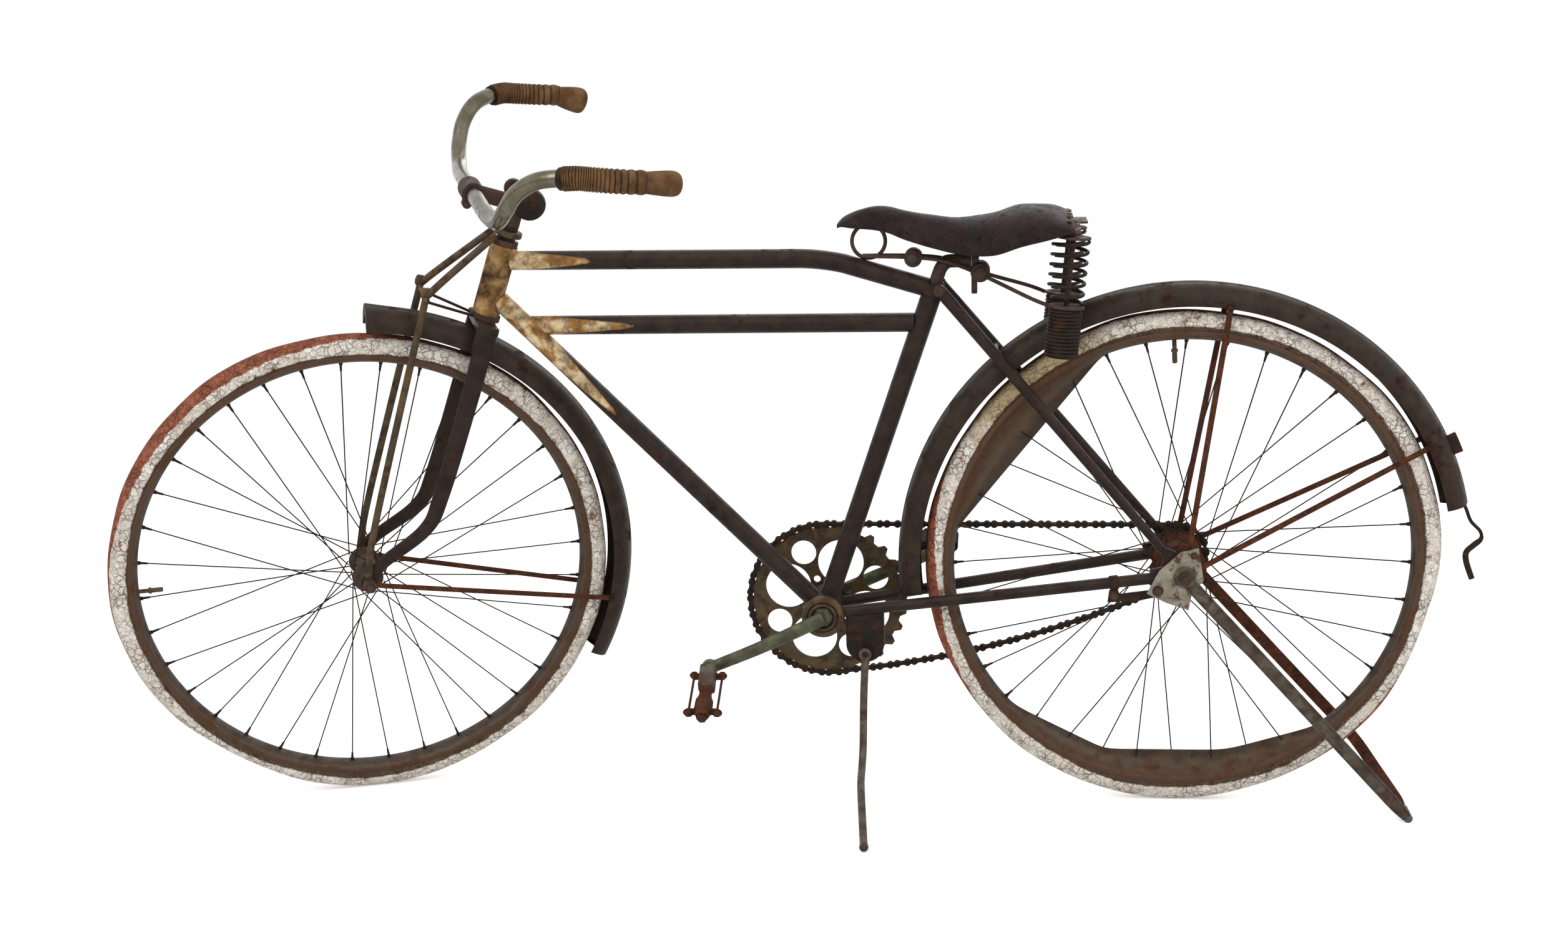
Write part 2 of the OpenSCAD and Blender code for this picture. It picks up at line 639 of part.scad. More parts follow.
function crank_end(s) = bb + crank_len * (s < 0 ? 1 : -1) * [cos(crank_a), 0, sin(crank_a)];
module crank_arm(s, root_y, end_y) {
    d = (s < 0 ? 1 : -1) * [cos(crank_a), 0, sin(crank_a)];
    difference() {
        union() {
            sweep(smooth([bb + [0, root_y, 0], bb + 12 * d + [0, root_y + s * 4, 0],
                bb + 45 * d + [0, (root_y + s * 4 + end_y) / 2, 0], bb + 100 * d + [0, end_y, 0],
                bb + crank_len * d + [0, end_y, 0]], 3), [11, 8.5], [7, 5.5]);
            y_ring(crank_end(s), end_y - pedal_eye_t / 2, end_y + pedal_eye_t / 2, 12);
        }
        y_ring(crank_end(s), end_y - 20, end_y + 20, pedal_pin_r + run_fit);
    }
}
module crank() {
    color("#6f7355") parked() union() {
        y_ring(bb, -44, 56, spindle_r);
        y_ring(bb, -bb_w / 2, -bb_w / 2 + 6, 20 - run_fit);
        y_ring(bb, bb_w / 2 - 6, bb_w / 2, 20 - run_fit);
        crank_arm(-1, -44, left_end_y);
        difference() {
            crank_arm(1, 56, right_end_y);
            y_ring(bb, chain_y - 5, chain_y + ring_t / 2, 30);
        }
    }
}
pedal_len = 92;
pedal_bolt_x = 19;
module pedal(s, blocks) {
    p = crank_end(s);
    y0 = s < 0 ? left_end_y : right_end_y;
    function out(a) = y0 + s * a;
    function low(a, b) = min(out(a), out(b));
    function high(a, b) = max(out(a), out(b));
    union() {
        y_ring(p, low(-pedal_eye_t / 2, 14), high(-pedal_eye_t / 2, 14), pedal_pin_r);
        y_ring(p, low(12, pedal_len + 10), high(12, pedal_len + 10), 10);
        for (a = [16, pedal_len])
            translate([p.x, low(a, a + 3), p.z]) translate([-pedal_bolt_x - 7, 0, -9])
                cube([2 * pedal_bolt_x + 14, 3, 18]);
        for (x = [-pedal_bolt_x, pedal_bolt_x])
            y_ring(p + [x, 0, 0], low(12, pedal_len + 7), high(12, pedal_len + 7), blocks ? 8.5 : 3);
    }
}
module left_pedal() { color("#5c4230") parked() pedal(-1, false); }
module right_pedal() { color("#2c2624") parked() pedal(1, true); }

// ---- Stands ----
foot_r = 6.5;
foot_x = stand_pivot.x + 8;
foot_z = (foot_r - tyre_r - up([foot_x - hub_x, -side_foot_y, -tyre_r])) / up([0, 0, 1]);
stand_x = stand_pivot.x;
module side_stand() {
    path = smooth([stand_pivot + [0.5, -2, -5], [stand_x + 1.5, -46, bb_z - 96], [stand_x + 3, -48, bb_z - 135],
        [stand_x + 3.5, -48.5, bb_z - 174], [stand_x + 4, -55, bb_z - 196], [stand_x + 4.5, -74, bb_z - 213],
        [stand_x + 6, -130, foot_z + 34],
        [foot_x, -side_foot_y, foot_z]], 4);
    color("#55493c") parked() difference() {
        union() {
            sweep(path, 5.5, 5.5, [1, 0, 0]);
            translate([foot_x, -side_foot_y, foot_z]) sphere(foot_r);
            rod(stand_pivot - stand_axis * 4, stand_pivot + stand_axis * 6, 9);
        }
        rod(stand_pivot - stand_axis * 20, stand_pivot + stand_axis * 20, pin_r + run_fit);
    }
}
foot_bar_r = 6;
foot_near_y = -100;
foot_far_y = -62;
leg_w = 20;
// Angle of the rear stand below level at which its foot bar just meets the floor
reach_x = rear_stand_len * up([1, 0, 0]);
reach_z = rear_stand_len * up([0, 0, 1]);
stand_drop = height(rear_hub_p + [0, foot_near_y, 0]) - foot_bar_r;
stand_a = asin(stand_drop / norm([reach_x, reach_z])) + atan2(reach_x, reach_z);
function on_stand(r, y, q = 0) = rear_hub_p + [r * cos(stand_a) + q * sin(stand_a), y,
    -r * sin(stand_a) + q * cos(stand_a)];
module rear_stand() {
    y_eye = stand_y + stand_t / 2;
    leg_half_t = stand_t / 2 - swing_fit;
    color("#6a5a4a") parked() difference() {
        union() {
            for (s = [-1, 1])
                y_ring(rear_hub_p, s * y_eye - leg_half_t, s * y_eye + leg_half_t, 15);
            sweep([on_stand(6, -y_eye), on_stand(40, -y_eye), on_stand(rear_stand_len - 4, foot_near_y)],
                leg_w / 2, leg_half_t);
            sweep([on_stand(6, y_eye), on_stand(300, y_eye), on_stand(388, y_eye), on_stand(428, 10),
                on_stand(rear_stand_len - 4, foot_far_y)], leg_w / 2, leg_half_t);
            rod(on_stand(rear_stand_len, foot_near_y), on_stand(rear_stand_len, foot_far_y), foot_bar_r);
        }
        y_ring(rear_hub_p, -100, 100, axle_r + swing_fit);
    }
}

// ---- Wheels ----
module tyre(hub) { spun(hub) translate([ring_line, 0]) circle(tyre_r); }
rim_depth = 4;
rim_low = ring_line - tyre_r - rim_depth;
module rim(hub) {
    spun(hub) difference() {
        intersection() {
            translate([ring_line, 0]) circle(tyre_r + rim_depth);
            translate([rim_low - 1, -rim_w / 2]) square([rim_depth + 13, rim_w]);
        }
        translate([ring_line, 0]) circle(tyre_r + seat_gap);
    }
}
flange_y = 30;
cross_a = 60;
module spokes(hub, flange_r) {
    step = 360 / spoke_count;
    for (k = [0 : spoke_count - 1]) {
        m = floor(k / 2);
        s = k % 2 == 0 ? -1 : 1;
        a = step * k;
        b = a + (m % 2 == 0 ? cross_a : -cross_a);
        y = s * (flange_y + (m % 2 == 0 ? 2 : -2));
        rod(hub + [(flange_r + 1.2) * cos(b), y, (flange_r + 1.2) * sin(b)],
            hub + [(rim_low - seat_gap) * cos(a), 0, (rim_low - seat_gap) * sin(a)], spoke_d / 2);
    }
}
module hub_shell(hub, half, body_r, flange_r) {
    bore = axle_r + run_fit;
    spun(hub) polygon([[bore, -half], [12, -half], [14, -flange_y - 6], [body_r, -flange_y - 4],
        [flange_r, -flange_y - 1.5], [flange_r, -flange_y + 1.5], [body_r, -flange_y + 5],
        [body_r, flange_y - 5], [flange_r, flange_y - 1.5], [flange_r, flange_y + 1.5],
        [body_r, flange_y + 4], [14, flange_y + 6], [12, half], [bore, half]]);
}
front_hub_half = fork_tip_y - 0.4;
rear_hub_half = dropout_y - 4;
module front_tyre() { color("#d8cdbb") steered() tyre(front_hub_p); }
module front_rim() { color("#5a3a24") steered() rim(front_hub_p); }
module front_spokes() { color("#3a332e") steered() spokes(front_hub_p, front_flange_r); }
module front_hub() { color("#5f3b22") steered() hub_shell(front_hub_p, front_hub_half, 15, front_flange_r); }
module rear_tyre() { color("#d8cdbb") parked() tyre(rear_hub_p); }
module rear_rim() { color("#5a3a24") parked() rim(rear_hub_p); }
module rear_spokes() { color("#3a332e") parked() spokes(rear_hub_p, rear_flange_r); }
module rear_hub() {
    color("#6b3c1c") parked() union() {
        hub_shell(rear_hub_p, rear_hub_half, 26, rear_flange_r);
        y_ring(rear_hub_p, flange_y + 5, chain_y + 4, cog_bore - run_fit, axle_r + run_fit);
    }
}

// ---- Fork and handlebar ----
blade_y = 42;
module fork() {
    tip = front_hub_p;
    color("#34292b") steered() difference() {
        union() {
            head_axis_bar(crown_s, column_top_s, column_r);
            translate(on_axis(crown_s)) rotate([0, 90 - head_angle, 0]) translate([-16, -blade_y - 6, 0])
                cube([32, 2 * blade_y + 12, crown_h]);
            for (s = [-1, 1]) {
                sweep(smooth([on_axis(crown_s + 3, 0, s * blade_y), on_axis(crown_s - 90, 1, s * (blade_y + 1)),
                    on_axis(150, -2, s * 46), on_axis(95, -12, s * 49), tip + [22, s * 52, 28],
                    tip + [5, s * 52.5, 6]], 4), [14, 8], [6.5, 2.5]);
                y_ring(tip, s > 0 ? fork_tip_y : -fork_tip_y - fork_tip_t,
                    s > 0 ? fork_tip_y + fork_tip_t : -fork_tip_y, 11);
            }
        }
        y_ring(tip, -70, 70, axle_r + run_fit);
    }
}
truss_r = 5;
truss_top = on_axis(column_top_s - 10);
truss_bend = front_hub_p + [121, 0, 400];
truss_bend_y = 34;
module truss_rods() {
    color("#5f5230") steered() difference() {
        union() {
            head_axis_bar(column_top_s - 14, column_top_s - 6, 20);
            for (s = [-1, 1]) {
                sweep(concat(smooth([truss_top + [-18, s * 15, 2], truss_bend + [5, s * truss_bend_y, 6],
                    truss_bend + [-4, s * (truss_bend_y + 1), -12], front_hub_p + [20, s * 52, 95],
                    front_hub_p + [2, s * (truss_y + eye_t / 2), 24]], 3),
                    [front_hub_p + [0, s * (truss_y + eye_t / 2), 4]]), [truss_r, 4.5], [truss_r, eye_t / 2]);
                y_ring(front_hub_p, s > 0 ? truss_y : -truss_y - eye_t, s > 0 ? truss_y + eye_t : -truss_y, 9);
            }
            y_ring(truss_bend, -truss_bend_y - 12, truss_bend_y + 12, 3);
        }
        head_axis_bar(column_top_s - 30, column_top_s + 10, column_r);
        y_ring(front_hub_p, -80, 80, axle_r + run_fit);
    }
}
bar_clamp = on_axis(column_top_s + 32, -62);
bar_r = 11;
clamp_w = 44;
module stem() {
    color("#5b4b34") steered() difference() {
        union() {
            head_axis_bar(column_top_s, column_top_s + 42, 13);
            rod(on_axis(column_top_s + 32), bar_clamp, 11);
            y_ring(bar_clamp, -clamp_w / 2, clamp_w / 2, bar_r + 5);
        }
        y_ring(bar_clamp, -clamp_w, clamp_w, bar_r);
    }
}
// Half of the handlebar's line, from its middle to the grip, as steps from the clamp
half_bar = [[0, 60, 0], [2, 130, -3], [7, 180, 0], [13, 214, 20], [26, 240, 48], [50, 268, 68], [87, 295, 74],
    [112, 298.5, 71]];
grip_line = [[87, 295, 74], [112, 298.5, 71], [150, 302, 66], [222, 306, 58]];
function bar_points(s, line) = [for (q = line) bar_clamp + [q[0], s * q[1], q[2]]];
module handlebar() {
    left = bar_points(-1, half_bar);
    right = bar_points(1, half_bar);
    path = concat([for (i = [len(left) - 1 : -1 : 0]) left[i]], [bar_clamp], right);
    color("#8f8f7c") steered() sweep(smooth(path, 4), bar_r - 0.2, bar_r - 0.2, [0.2, 0, 1], 16);
}
grip_r = 16;
module grips() {
    color("#7a5230") steered() for (s = [-1, 1]) difference() {
        sweep(smooth(bar_points(s, grip_line), 3), grip_r, grip_r, [0, 0, 1], 16);
        sweep(smooth(bar_points(s, [for (i = [4 : 7]) half_bar[i]]), 4), bar_r + 0.2, bar_r + 0.2, [0.2, 0, 1], 16);
    }
}
// The bell sits on the left side of the stem
bell_s = column_top_s + 39;
bell_p = on_axis(bell_s, 14);
module bell() {
    color("#241c1a") steered() {
        difference() {
            rod(on_axis(bell_s, 2, -8), bell_p + [0, -20, 0], 5);
            head_axis_bar(column_top_s, column_top_s + 60, 13);
        }
        spun(bell_p) polygon([[0, 20], [22, 20], [22, 24], [20, 30], [14, 35], [5, 37.5], [5, 40], [0, 40]]);
        y_ring(bell_p + [-20, 0, 24], -32, -20, 13);
    }
}

head_tube();
headset();
upper_bar();
lower_bar();
down_tube();
seat_tube();
bottom_bracket();
seat_stays();
chain_stays();
dropouts();
seat_lug();
seat_post();
saddle_frame();
saddle_springs();
saddle_leather();
rear_fender();
rear_fender_stays();
rear_axle();
axle_plate();
brake_arm();
stand_clip();
hook();
side_stand_bracket();
chain();
fork();
truss_rods();
front_axle();
front_fender();
front_fender_stays();
stem();
handlebar();
grips();
bell();
front_tyre();
front_rim();
front_spokes();
front_hub();
rear_tyre();
rear_rim();
rear_spokes();
rear_hub();
rear_cog();
crank();
chainring();
left_pedal();
right_pedal();
side_stand();
rear_stand();
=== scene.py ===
# %% [markdown]
# # A rusty roadster bicycle
# This lesson builds the looks of an old steel bicycle around a finished construction frame.
# The frame gives every tube, wheel and joint at its real size. What is added here is what a
# restorer would notice first: cracked white tyres, ribbed grips, sprung saddle, chain and rust.
# Work is done in millimetres on an upright bicycle, and two functions carry it into the scene.

# %% Load the frame
import json
import math

import bpy
import numpy as np
from mathutils import Matrix


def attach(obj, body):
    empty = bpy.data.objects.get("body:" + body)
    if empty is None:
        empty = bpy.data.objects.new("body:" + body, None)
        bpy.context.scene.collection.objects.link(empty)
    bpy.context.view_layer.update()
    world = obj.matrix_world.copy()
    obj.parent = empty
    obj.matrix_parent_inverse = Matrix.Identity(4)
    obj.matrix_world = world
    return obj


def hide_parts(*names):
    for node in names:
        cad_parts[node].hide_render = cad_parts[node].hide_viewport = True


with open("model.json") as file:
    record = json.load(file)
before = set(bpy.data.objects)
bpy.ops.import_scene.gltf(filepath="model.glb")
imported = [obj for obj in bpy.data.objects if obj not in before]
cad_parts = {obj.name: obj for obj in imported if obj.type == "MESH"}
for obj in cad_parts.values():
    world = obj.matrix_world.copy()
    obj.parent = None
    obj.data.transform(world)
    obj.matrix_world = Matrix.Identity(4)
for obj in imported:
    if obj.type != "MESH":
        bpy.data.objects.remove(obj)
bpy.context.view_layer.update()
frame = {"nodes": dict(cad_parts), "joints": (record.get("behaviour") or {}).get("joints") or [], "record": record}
joints = {j["name"]: j for j in frame["joints"]}

# %% [markdown]
# ## Two ways into the scene
# The real bicycle leans on its side stand with the front wheel turned. A lathe or a jig works on
# it upright, so each shape is drawn upright first: X to the rear, Y to the rider's right, Z up,
# with zero on the floor halfway between the hubs. bike() leans a shape, and turned() steers it
# as well. Both read the hubs and axes of the frame's own joints, so nothing has to be fitted.

# %% Axes of the leaning bicycle
HUB_X = 583
WHEEL_R = 355
TYRE_R = 19
RING_LINE = WHEEL_R - TYRE_R
HEAD_ANGLE = math.radians(70.2)
FORK_OFFSET = 69.6
STEER = math.radians(23.5)
FENDER_GAP = 34
FENDER_SHEET = 1.6
FENDER_R = WHEEL_R + FENDER_GAP + FENDER_SHEET


def joint_place(name):
    return np.array(joints[name]["pos_m"])


def joint_axis(name):
    v = np.array(joints[name]["axis"], float)
    return v / np.linalg.norm(v)


rear_hub_m = joint_place("rear_wheel_spin")
fork_foot_m = joint_place("steering")
right = joint_axis("rear_wheel_spin")
fork_up = joint_axis("steering")
across_fork = np.cross(right, fork_up)
backward = math.cos(HEAD_ANGLE) * fork_up + math.sin(HEAD_ANGLE) * across_fork
upward = math.sin(HEAD_ANGLE) * fork_up - math.cos(HEAD_ANGLE) * across_fork
bike_axes = np.array([backward, right, upward])


def bike(points):
    """Millimetres on the upright bicycle to metres in the scene: each step from the rear hub is
    laid along the leaning bicycle's own three axes."""
    steps = (np.asarray(points, float) - (HUB_X, 0, WHEEL_R)) * 0.001
    return rear_hub_m + steps @ bike_axes


turn_steer = np.array(Matrix.Rotation(STEER, 3, fork_up))


def turned(points):
    """The same, then turned about the steering axis as the fork and handlebar are."""
    return fork_foot_m + (bike(points) - fork_foot_m) @ turn_steer.T


def heading(angle):
    """The direction at an angle about the Y axis, counted from the rear upwards."""
    return np.array([math.cos(angle), 0, math.sin(angle)])


REAR_HUB = np.array([HUB_X, 0, WHEEL_R])
FRONT_HUB = np.array([-HUB_X, 0, WHEEL_R])
STEER_DIR = heading(HEAD_ANGLE)
STEER_BACK = np.array([math.sin(HEAD_ANGLE), 0, -math.cos(HEAD_ANGLE)])
STEER_FOOT = FRONT_HUB + FORK_OFFSET * STEER_BACK


def on_axis(s, q=0, y=0):
    """A point s up the steering axis, q behind it and y to the right."""
    return STEER_FOOT + s * STEER_DIR + q * STEER_BACK + np.array([0, y, 0])


print("front hub off by", np.abs(turned(FRONT_HUB) - joint_place("front_wheel_spin")).max())

# %% [markdown]
# ## Surfaces from numbers
# Almost every part here is a profile carried along a line: a tube, a fender, a tyre, a coil.
# Whole arrays are cheaper and cleaner than building face by face, so a shape is kept as one
# array of points and one of faces, and only the last step hands them to Blender.

# %% Arrays of points and faces
def unit(v):
    return v / np.linalg.norm(v, axis=-1, keepdims=True)


def full_turn(count):
    return np.linspace(0, 2 * np.pi, count, endpoint=False)


def facing_out(shape):
    """Turns a closed shape's faces round if the volume they enclose comes out negative."""
    points, quads, tris = shape
    p = points - points.mean(axis=0)
    halves = np.concatenate([quads[:, [0, 1, 2]], quads[:, [0, 2, 3]], tris])
    a, b, c = (p[halves[:, k]] for k in range(3))
    volume = np.einsum("ij,ij->i", a, np.cross(b, c)).sum()
    return shape if volume > 0 else (points, quads[:, ::-1], tris[:, ::-1])


def grid_shape(grid, wrap_rows=False):
    """A closed shape from a grid whose point (row, column) has number row * cols + column. Rows
    that don't meet get a fan of triangles at each end, about the middle of the end row."""
    rows, cols = grid.shape[:2]
    i = np.arange(rows if wrap_rows else rows - 1)[:, None]
    j = np.arange(cols)
    i2, j2 = (i + 1) % rows, (j + 1) % cols
    quads = np.stack([i * cols + j, i2 * cols + j, i2 * cols + j2, i * cols + j2], -1).reshape(-1, 4)
    points, tris = grid.reshape(-1, 3), np.zeros((0, 3), int)
    if not wrap_rows:
        points = np.concatenate([points, grid[:1].mean(axis=1), grid[-1:].mean(axis=1)])
        middle = np.full(cols, rows * cols)
        last = (rows - 1) * cols
        tris = np.concatenate([np.stack([middle, j, j2], -1), np.stack([middle + 1, last + j2, last + j], -1)])
    return facing_out((points, quads, tris))


def joined(*shapes):
    """Several shapes as one: each one's face numbers move up by the points before it."""
    starts = np.cumsum([0] + [len(s[0]) for s in shapes[:-1]])
    points = np.concatenate([s[0] for s in shapes])
    quads = np.concatenate([s[1] + n for s, n in zip(shapes, starts)])
    tris = np.concatenate([s[2] + n for s, n in zip(shapes, starts)])
    return points, quads, tris


def smooth(points, steps=8):
    """A Catmull-Rom line: between two points the line leaves each one parallel to the chord of
    its two neighbours."""
    p = np.asarray(points, float)
    a = np.concatenate([p[:1], p[:-2]])
    b, c = p[:-1], p[1:]
    d = np.concatenate([p[2:], p[-1:]])
    t = (np.arange(steps) / steps)[None, :, None]
    a, b, c, d = (q[:, None, :] for q in (a, b, c, d))
    line = 0.5 * (2 * b + (c - a) * t + (2 * a - 5 * b + 4 * c - d) * t**2 + (3 * b - 3 * c + d - a) * t**3)
    return np.concatenate([line.reshape(-1, p.shape[1]), p[-1:]])


def frames_along(path, side):
    """At each point of a line, the direction nearest to side that is square to the line, and the
    direction square to both."""
    tangent = unit(np.gradient(path, axis=0))
    w = np.broadcast_to(np.asarray(side, float), path.shape)
    w = unit(w - np.sum(w * tangent, -1, keepdims=True) * tangent)
    return w, np.cross(w, tangent)


def carried(path, profile, side=(0, 1, 0)):
    """A profile carried along a line. Each profile point (a, b) goes b along the side direction
    and a square to it. The profile may change from point to point of the line."""
    path = np.asarray(path, float)
    w, u = frames_along(path, side)
    profile = np.asarray(profile, float)
    if profile.ndim == 2:
        profile = np.broadcast_to(profile, (len(path),) + profile.shape)
    return grid_shape(path[:, None] + profile[..., :1] * u[:, None] + profile[..., 1:] * w[:, None])


def tube(path, radius, sides=28, side=(0, 1, 0), flat=None):
    """A round bar along a line; radius may be a number or one value for each point of the line,
    and flat gives the half width along the side direction where the bar is oval."""
    path = np.asarray(path, float)
    t = full_turn(sides)
    a = np.broadcast_to(radius, len(path))[:, None]
    b = a if flat is None else np.broadcast_to(flat, len(path))[:, None]
    return carried(path, np.stack([a * np.cos(t), b * np.sin(t)], -1), side)


def bar(a, b, radius, sides=20, bevel=0.8):
    """A straight bar with softened ends: near each end the radius drops by the bevel."""
    a, b = np.asarray(a, float), np.asarray(b, float)
    d = unit(b - a)
    ends = np.array([a, a + d * bevel, b - d * bevel, b])
    side = (0, 0, 1) if abs(d[2]) < 0.9 else (1, 0, 0)
    return tube(ends, [radius - bevel, radius, radius, radius - bevel], sides, side)


def placed(shape, origins, turns):
    """Copies of a small shape: one for each origin, each with its own three axes as rows."""
    points, quads, tris = shape
    copies = np.einsum("nj,kji->kni", points, turns) + origins[:, None]
    starts = (np.arange(len(origins)) * len(points))[:, None, None]
    return copies.reshape(-1, 3), (quads + starts).reshape(-1, 4), (tris + starts).reshape(-1, 3)


# %% Arrays into a Blender mesh
def piece(name, shape, into, body, material, slot, replaces=(), sharp=35, values=None):
    """Hands a shape to Blender, places it with bike() or turned(), parents it to the body that carries it,
    gives it its finish and hides the frame nodes it stands for."""
    points, quads, tris = shape
    mesh = bpy.data.meshes.new(name)
    mesh.vertices.add(len(points))
    mesh.vertices.foreach_set("co", into(points).astype(np.float32).ravel())
    corners = np.concatenate([quads.ravel(), tris.ravel()]).astype(np.int32)
    mesh.loops.add(len(corners))
    mesh.loops.foreach_set("vertex_index", corners)
    counts = np.concatenate([np.full(len(quads), 4), np.full(len(tris), 3)])
    mesh.polygons.add(len(counts))
    mesh.polygons.foreach_set("loop_start", np.concatenate([[0], np.cumsum(counts)[:-1]]).astype(np.int32))
    mesh.update(calc_edges=True)
    mesh.shade_smooth()
    mesh.set_sharp_from_angle(angle=math.radians(sharp))
    for key, numbers in (values or {}).items():
        mesh.attributes.new(key, "FLOAT", "POINT").data.foreach_set("value", numbers.astype(np.float32).ravel())
    mesh.validate()
    thing = bpy.data.objects.new(name, mesh)
    bpy.context.scene.collection.objects.link(thing)
    mesh.materials.append(material)
    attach(thing, body)
    if replaces:
        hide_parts(*replaces)
    print(name, "points", len(points), "triangles", 2 * len(quads) + len(tris))


# %% [markdown]
# ## Room, lamps and camera
# A catalogue shows such a bicycle in front of pale paper without a corner, and wide lamps leave
# soft shadows. Paper and world show plain white to the camera only, so the lamps can stay at a
# level where each finish keeps its own colour.

# %% Stage
scene = bpy.context.scene
scene.view_settings.view_transform = "Standard"
CAMERA_AT = (0.2803, -2.6156, 0.8926)
CAMERA_AXES = np.array([(0.99413, 0.10632, -0.02013), (-0.00304, 0.21339, 0.97696), (0.10817, -0.97117, 0.21246)])


def node(tree, kind, inputs=None, **settings):
    """A shader node with its settings, and with each input given another node's output or a
    value. A value of three numbers is a colour, and gets its fourth here."""
    made = tree.nodes.new("ShaderNode" + kind)
    for key, value in settings.items():
        setattr(made, key, value)
    for key, value in (inputs or {}).items():
        if isinstance(value, bpy.types.NodeSocket):
            tree.links.new(value, made.inputs[key])
        else:
            colour = isinstance(value, tuple) and len(value) == 3
            made.inputs[key].default_value = (*value, 1.0) if colour else value
    return made


camera = bpy.data.objects.new("camera", bpy.data.cameras.new("camera"))
scene.collection.objects.link(camera)
camera.matrix_world = Matrix.Translation(CAMERA_AT) @ Matrix(CAMERA_AXES.T.tolist()).to_4x4()
camera.data.lens = 43.62
camera.data.shift_y = 0.0796
scene.camera = camera


def lamp(name, place, target, size, power):
    """A square soft lamp at a place, facing a target."""
    data = bpy.data.lights.new(name, "AREA")
    data.size = size
    data.energy = power
    thing = bpy.data.objects.new(name, data)
    scene.collection.objects.link(thing)
    away = unit(np.subtract(place, target))
    flat = unit(np.cross((0, 0, 1), away))
    axes = np.array([flat, np.cross(away, flat), away])
    thing.matrix_world = Matrix.Translation(place) @ Matrix(axes.T.tolist()).to_4x4()


lamp("key", (-1.6, -2.6, 3.0), (0, 0, 0.4), 2.4, 62)
lamp("fill", (2.6, -2.0, 2.0), (0, 0, 0.4), 2.4, 34)
lamp("back", (0.4, 2.8, 2.6), (0, 0, 0.5), 2.6, 34)

world = bpy.data.worlds.new("studio")
scene.world = world
world.use_nodes = True
tree = world.node_tree
tree.nodes.clear()
path = node(tree, "LightPath")
seen = node(tree, "Math", {0: path.outputs["Is Camera Ray"], 1: path.outputs["Is Glossy Ray"]},
            operation="MAXIMUM")
sky = node(tree, "Background", {"Color": (1, 1, 1), "Strength": 0.62})
paper = node(tree, "Background", {"Color": (1, 1, 1), "Strength": 1.0})
both = node(tree, "MixShader", {0: seen.outputs[0], 1: sky.outputs[0], 2: paper.outputs[0]})
node(tree, "OutputWorld", {"Surface": both.outputs[0]})

floor_mesh = bpy.data.meshes.new("floor")
FLOOR_REACH = 14
corners = np.array([(-1, -1, 0), (1, -1, 0), (1, 1, 0), (-1, 1, 0)]) * (FLOOR_REACH, FLOOR_REACH, 0)
floor_mesh.from_pydata(corners.tolist(), [], [(0, 1, 2, 3)])
floor = bpy.data.objects.new("floor", floor_mesh)
scene.collection.objects.link(floor)
paper_floor = bpy.data.materials.new("paper_floor")
paper_floor.use_nodes = True
tree = paper_floor.node_tree
tree.nodes.clear()
dull = node(tree, "BsdfDiffuse", {"Color": (0.93, 0.93, 0.93)})
glow = node(tree, "Emission", {"Color": (1, 1, 1), "Strength": 0.42})
path = node(tree, "LightPath")
shown = node(tree, "AddShader", {0: dull.outputs[0], 1: glow.outputs[0]})
both = node(tree, "MixShader", {0: path.outputs["Is Camera Ray"], 1: dull.outputs[0], 2: shown.outputs[0]})
node(tree, "OutputMaterial", {"Surface": both.outputs[0]})
floor_mesh.materials.append(paper_floor)
print("camera at", CAMERA_AT, "lens", camera.data.lens)

# %% [markdown]
# ## Effects that finishes share
# Rust, pits, cracks and dust are found on nearly every part of this bicycle, in other amounts.
# Each is one node group with named inputs. A group gives only masks, colours, heights and
# normals, and the shader itself stays in the finish that uses it.

# %% Node groups
def new_group(name, inputs, outputs):
    """An empty node group. Inputs are (name, kind, default) and outputs are (name, kind)."""
    made = bpy.data.node_groups.new(name, "ShaderNodeTree")
    for label, kind, value in inputs:
        socket = made.interface.new_socket(name=label, in_out="INPUT", socket_type="NodeSocket" + kind)
        if value is not None:
            socket.default_value = value
    for label, kind in outputs:
        made.interface.new_socket(name=label, in_out="OUTPUT", socket_type="NodeSocket" + kind)
    return made, made.nodes.new("NodeGroupInput").outputs, made.nodes.new("NodeGroupOutput").inputs


def noise(tree, vector, scale, detail=5.0, rough=0.6):
    inputs = {"Vector": vector, "Scale": scale, "Detail": detail, "Roughness": rough}
    return node(tree, "TexNoise", inputs).outputs["Fac"]


def maths(tree, kind, a, b=0.0, clamp=False):
    return node(tree, "Math", {0: a, 1: b}, operation=kind, use_clamp=clamp).outputs[0]


def ramp(tree, value, low, high, to_low=0.0, to_high=1.0):
    inputs = {"Value": value, "From Min": low, "From Max": high, "To Min": to_low, "To Max": to_high}
    return node(tree, "MapRange", inputs).outputs["Result"]


def mixed(tree, factor, a, b):
    return node(tree, "Mix", {"Factor": factor, 6: a, 7: b}, data_type="RGBA").outputs[2]


def use(tree, group, inputs):
    return node(tree, "Group", inputs, node_tree=group).outputs


patches, given, result = new_group(
    "patches", [("Vector", "Vector", None), ("Scale", "Float", 30.0), ("Share", "Float", 0.4),
                ("Softness", "Float", 0.04)], [("Mask", "Float")])
# Noise of this kind stays between about 0.28 and 0.72, so a share of 0 sets the level above all
# of it and a share of 1 below all of it.
broad = noise(patches, given["Vector"], given["Scale"], 8.0, 0.62)
level = maths(patches, "SUBTRACT", 0.72, maths(patches, "MULTIPLY", given["Share"], 0.44))
low = maths(patches, "SUBTRACT", level, given["Softness"])
high = maths(patches, "ADD", level, given["Softness"])
patches.links.new(ramp(patches, broad, low, high), result["Mask"])

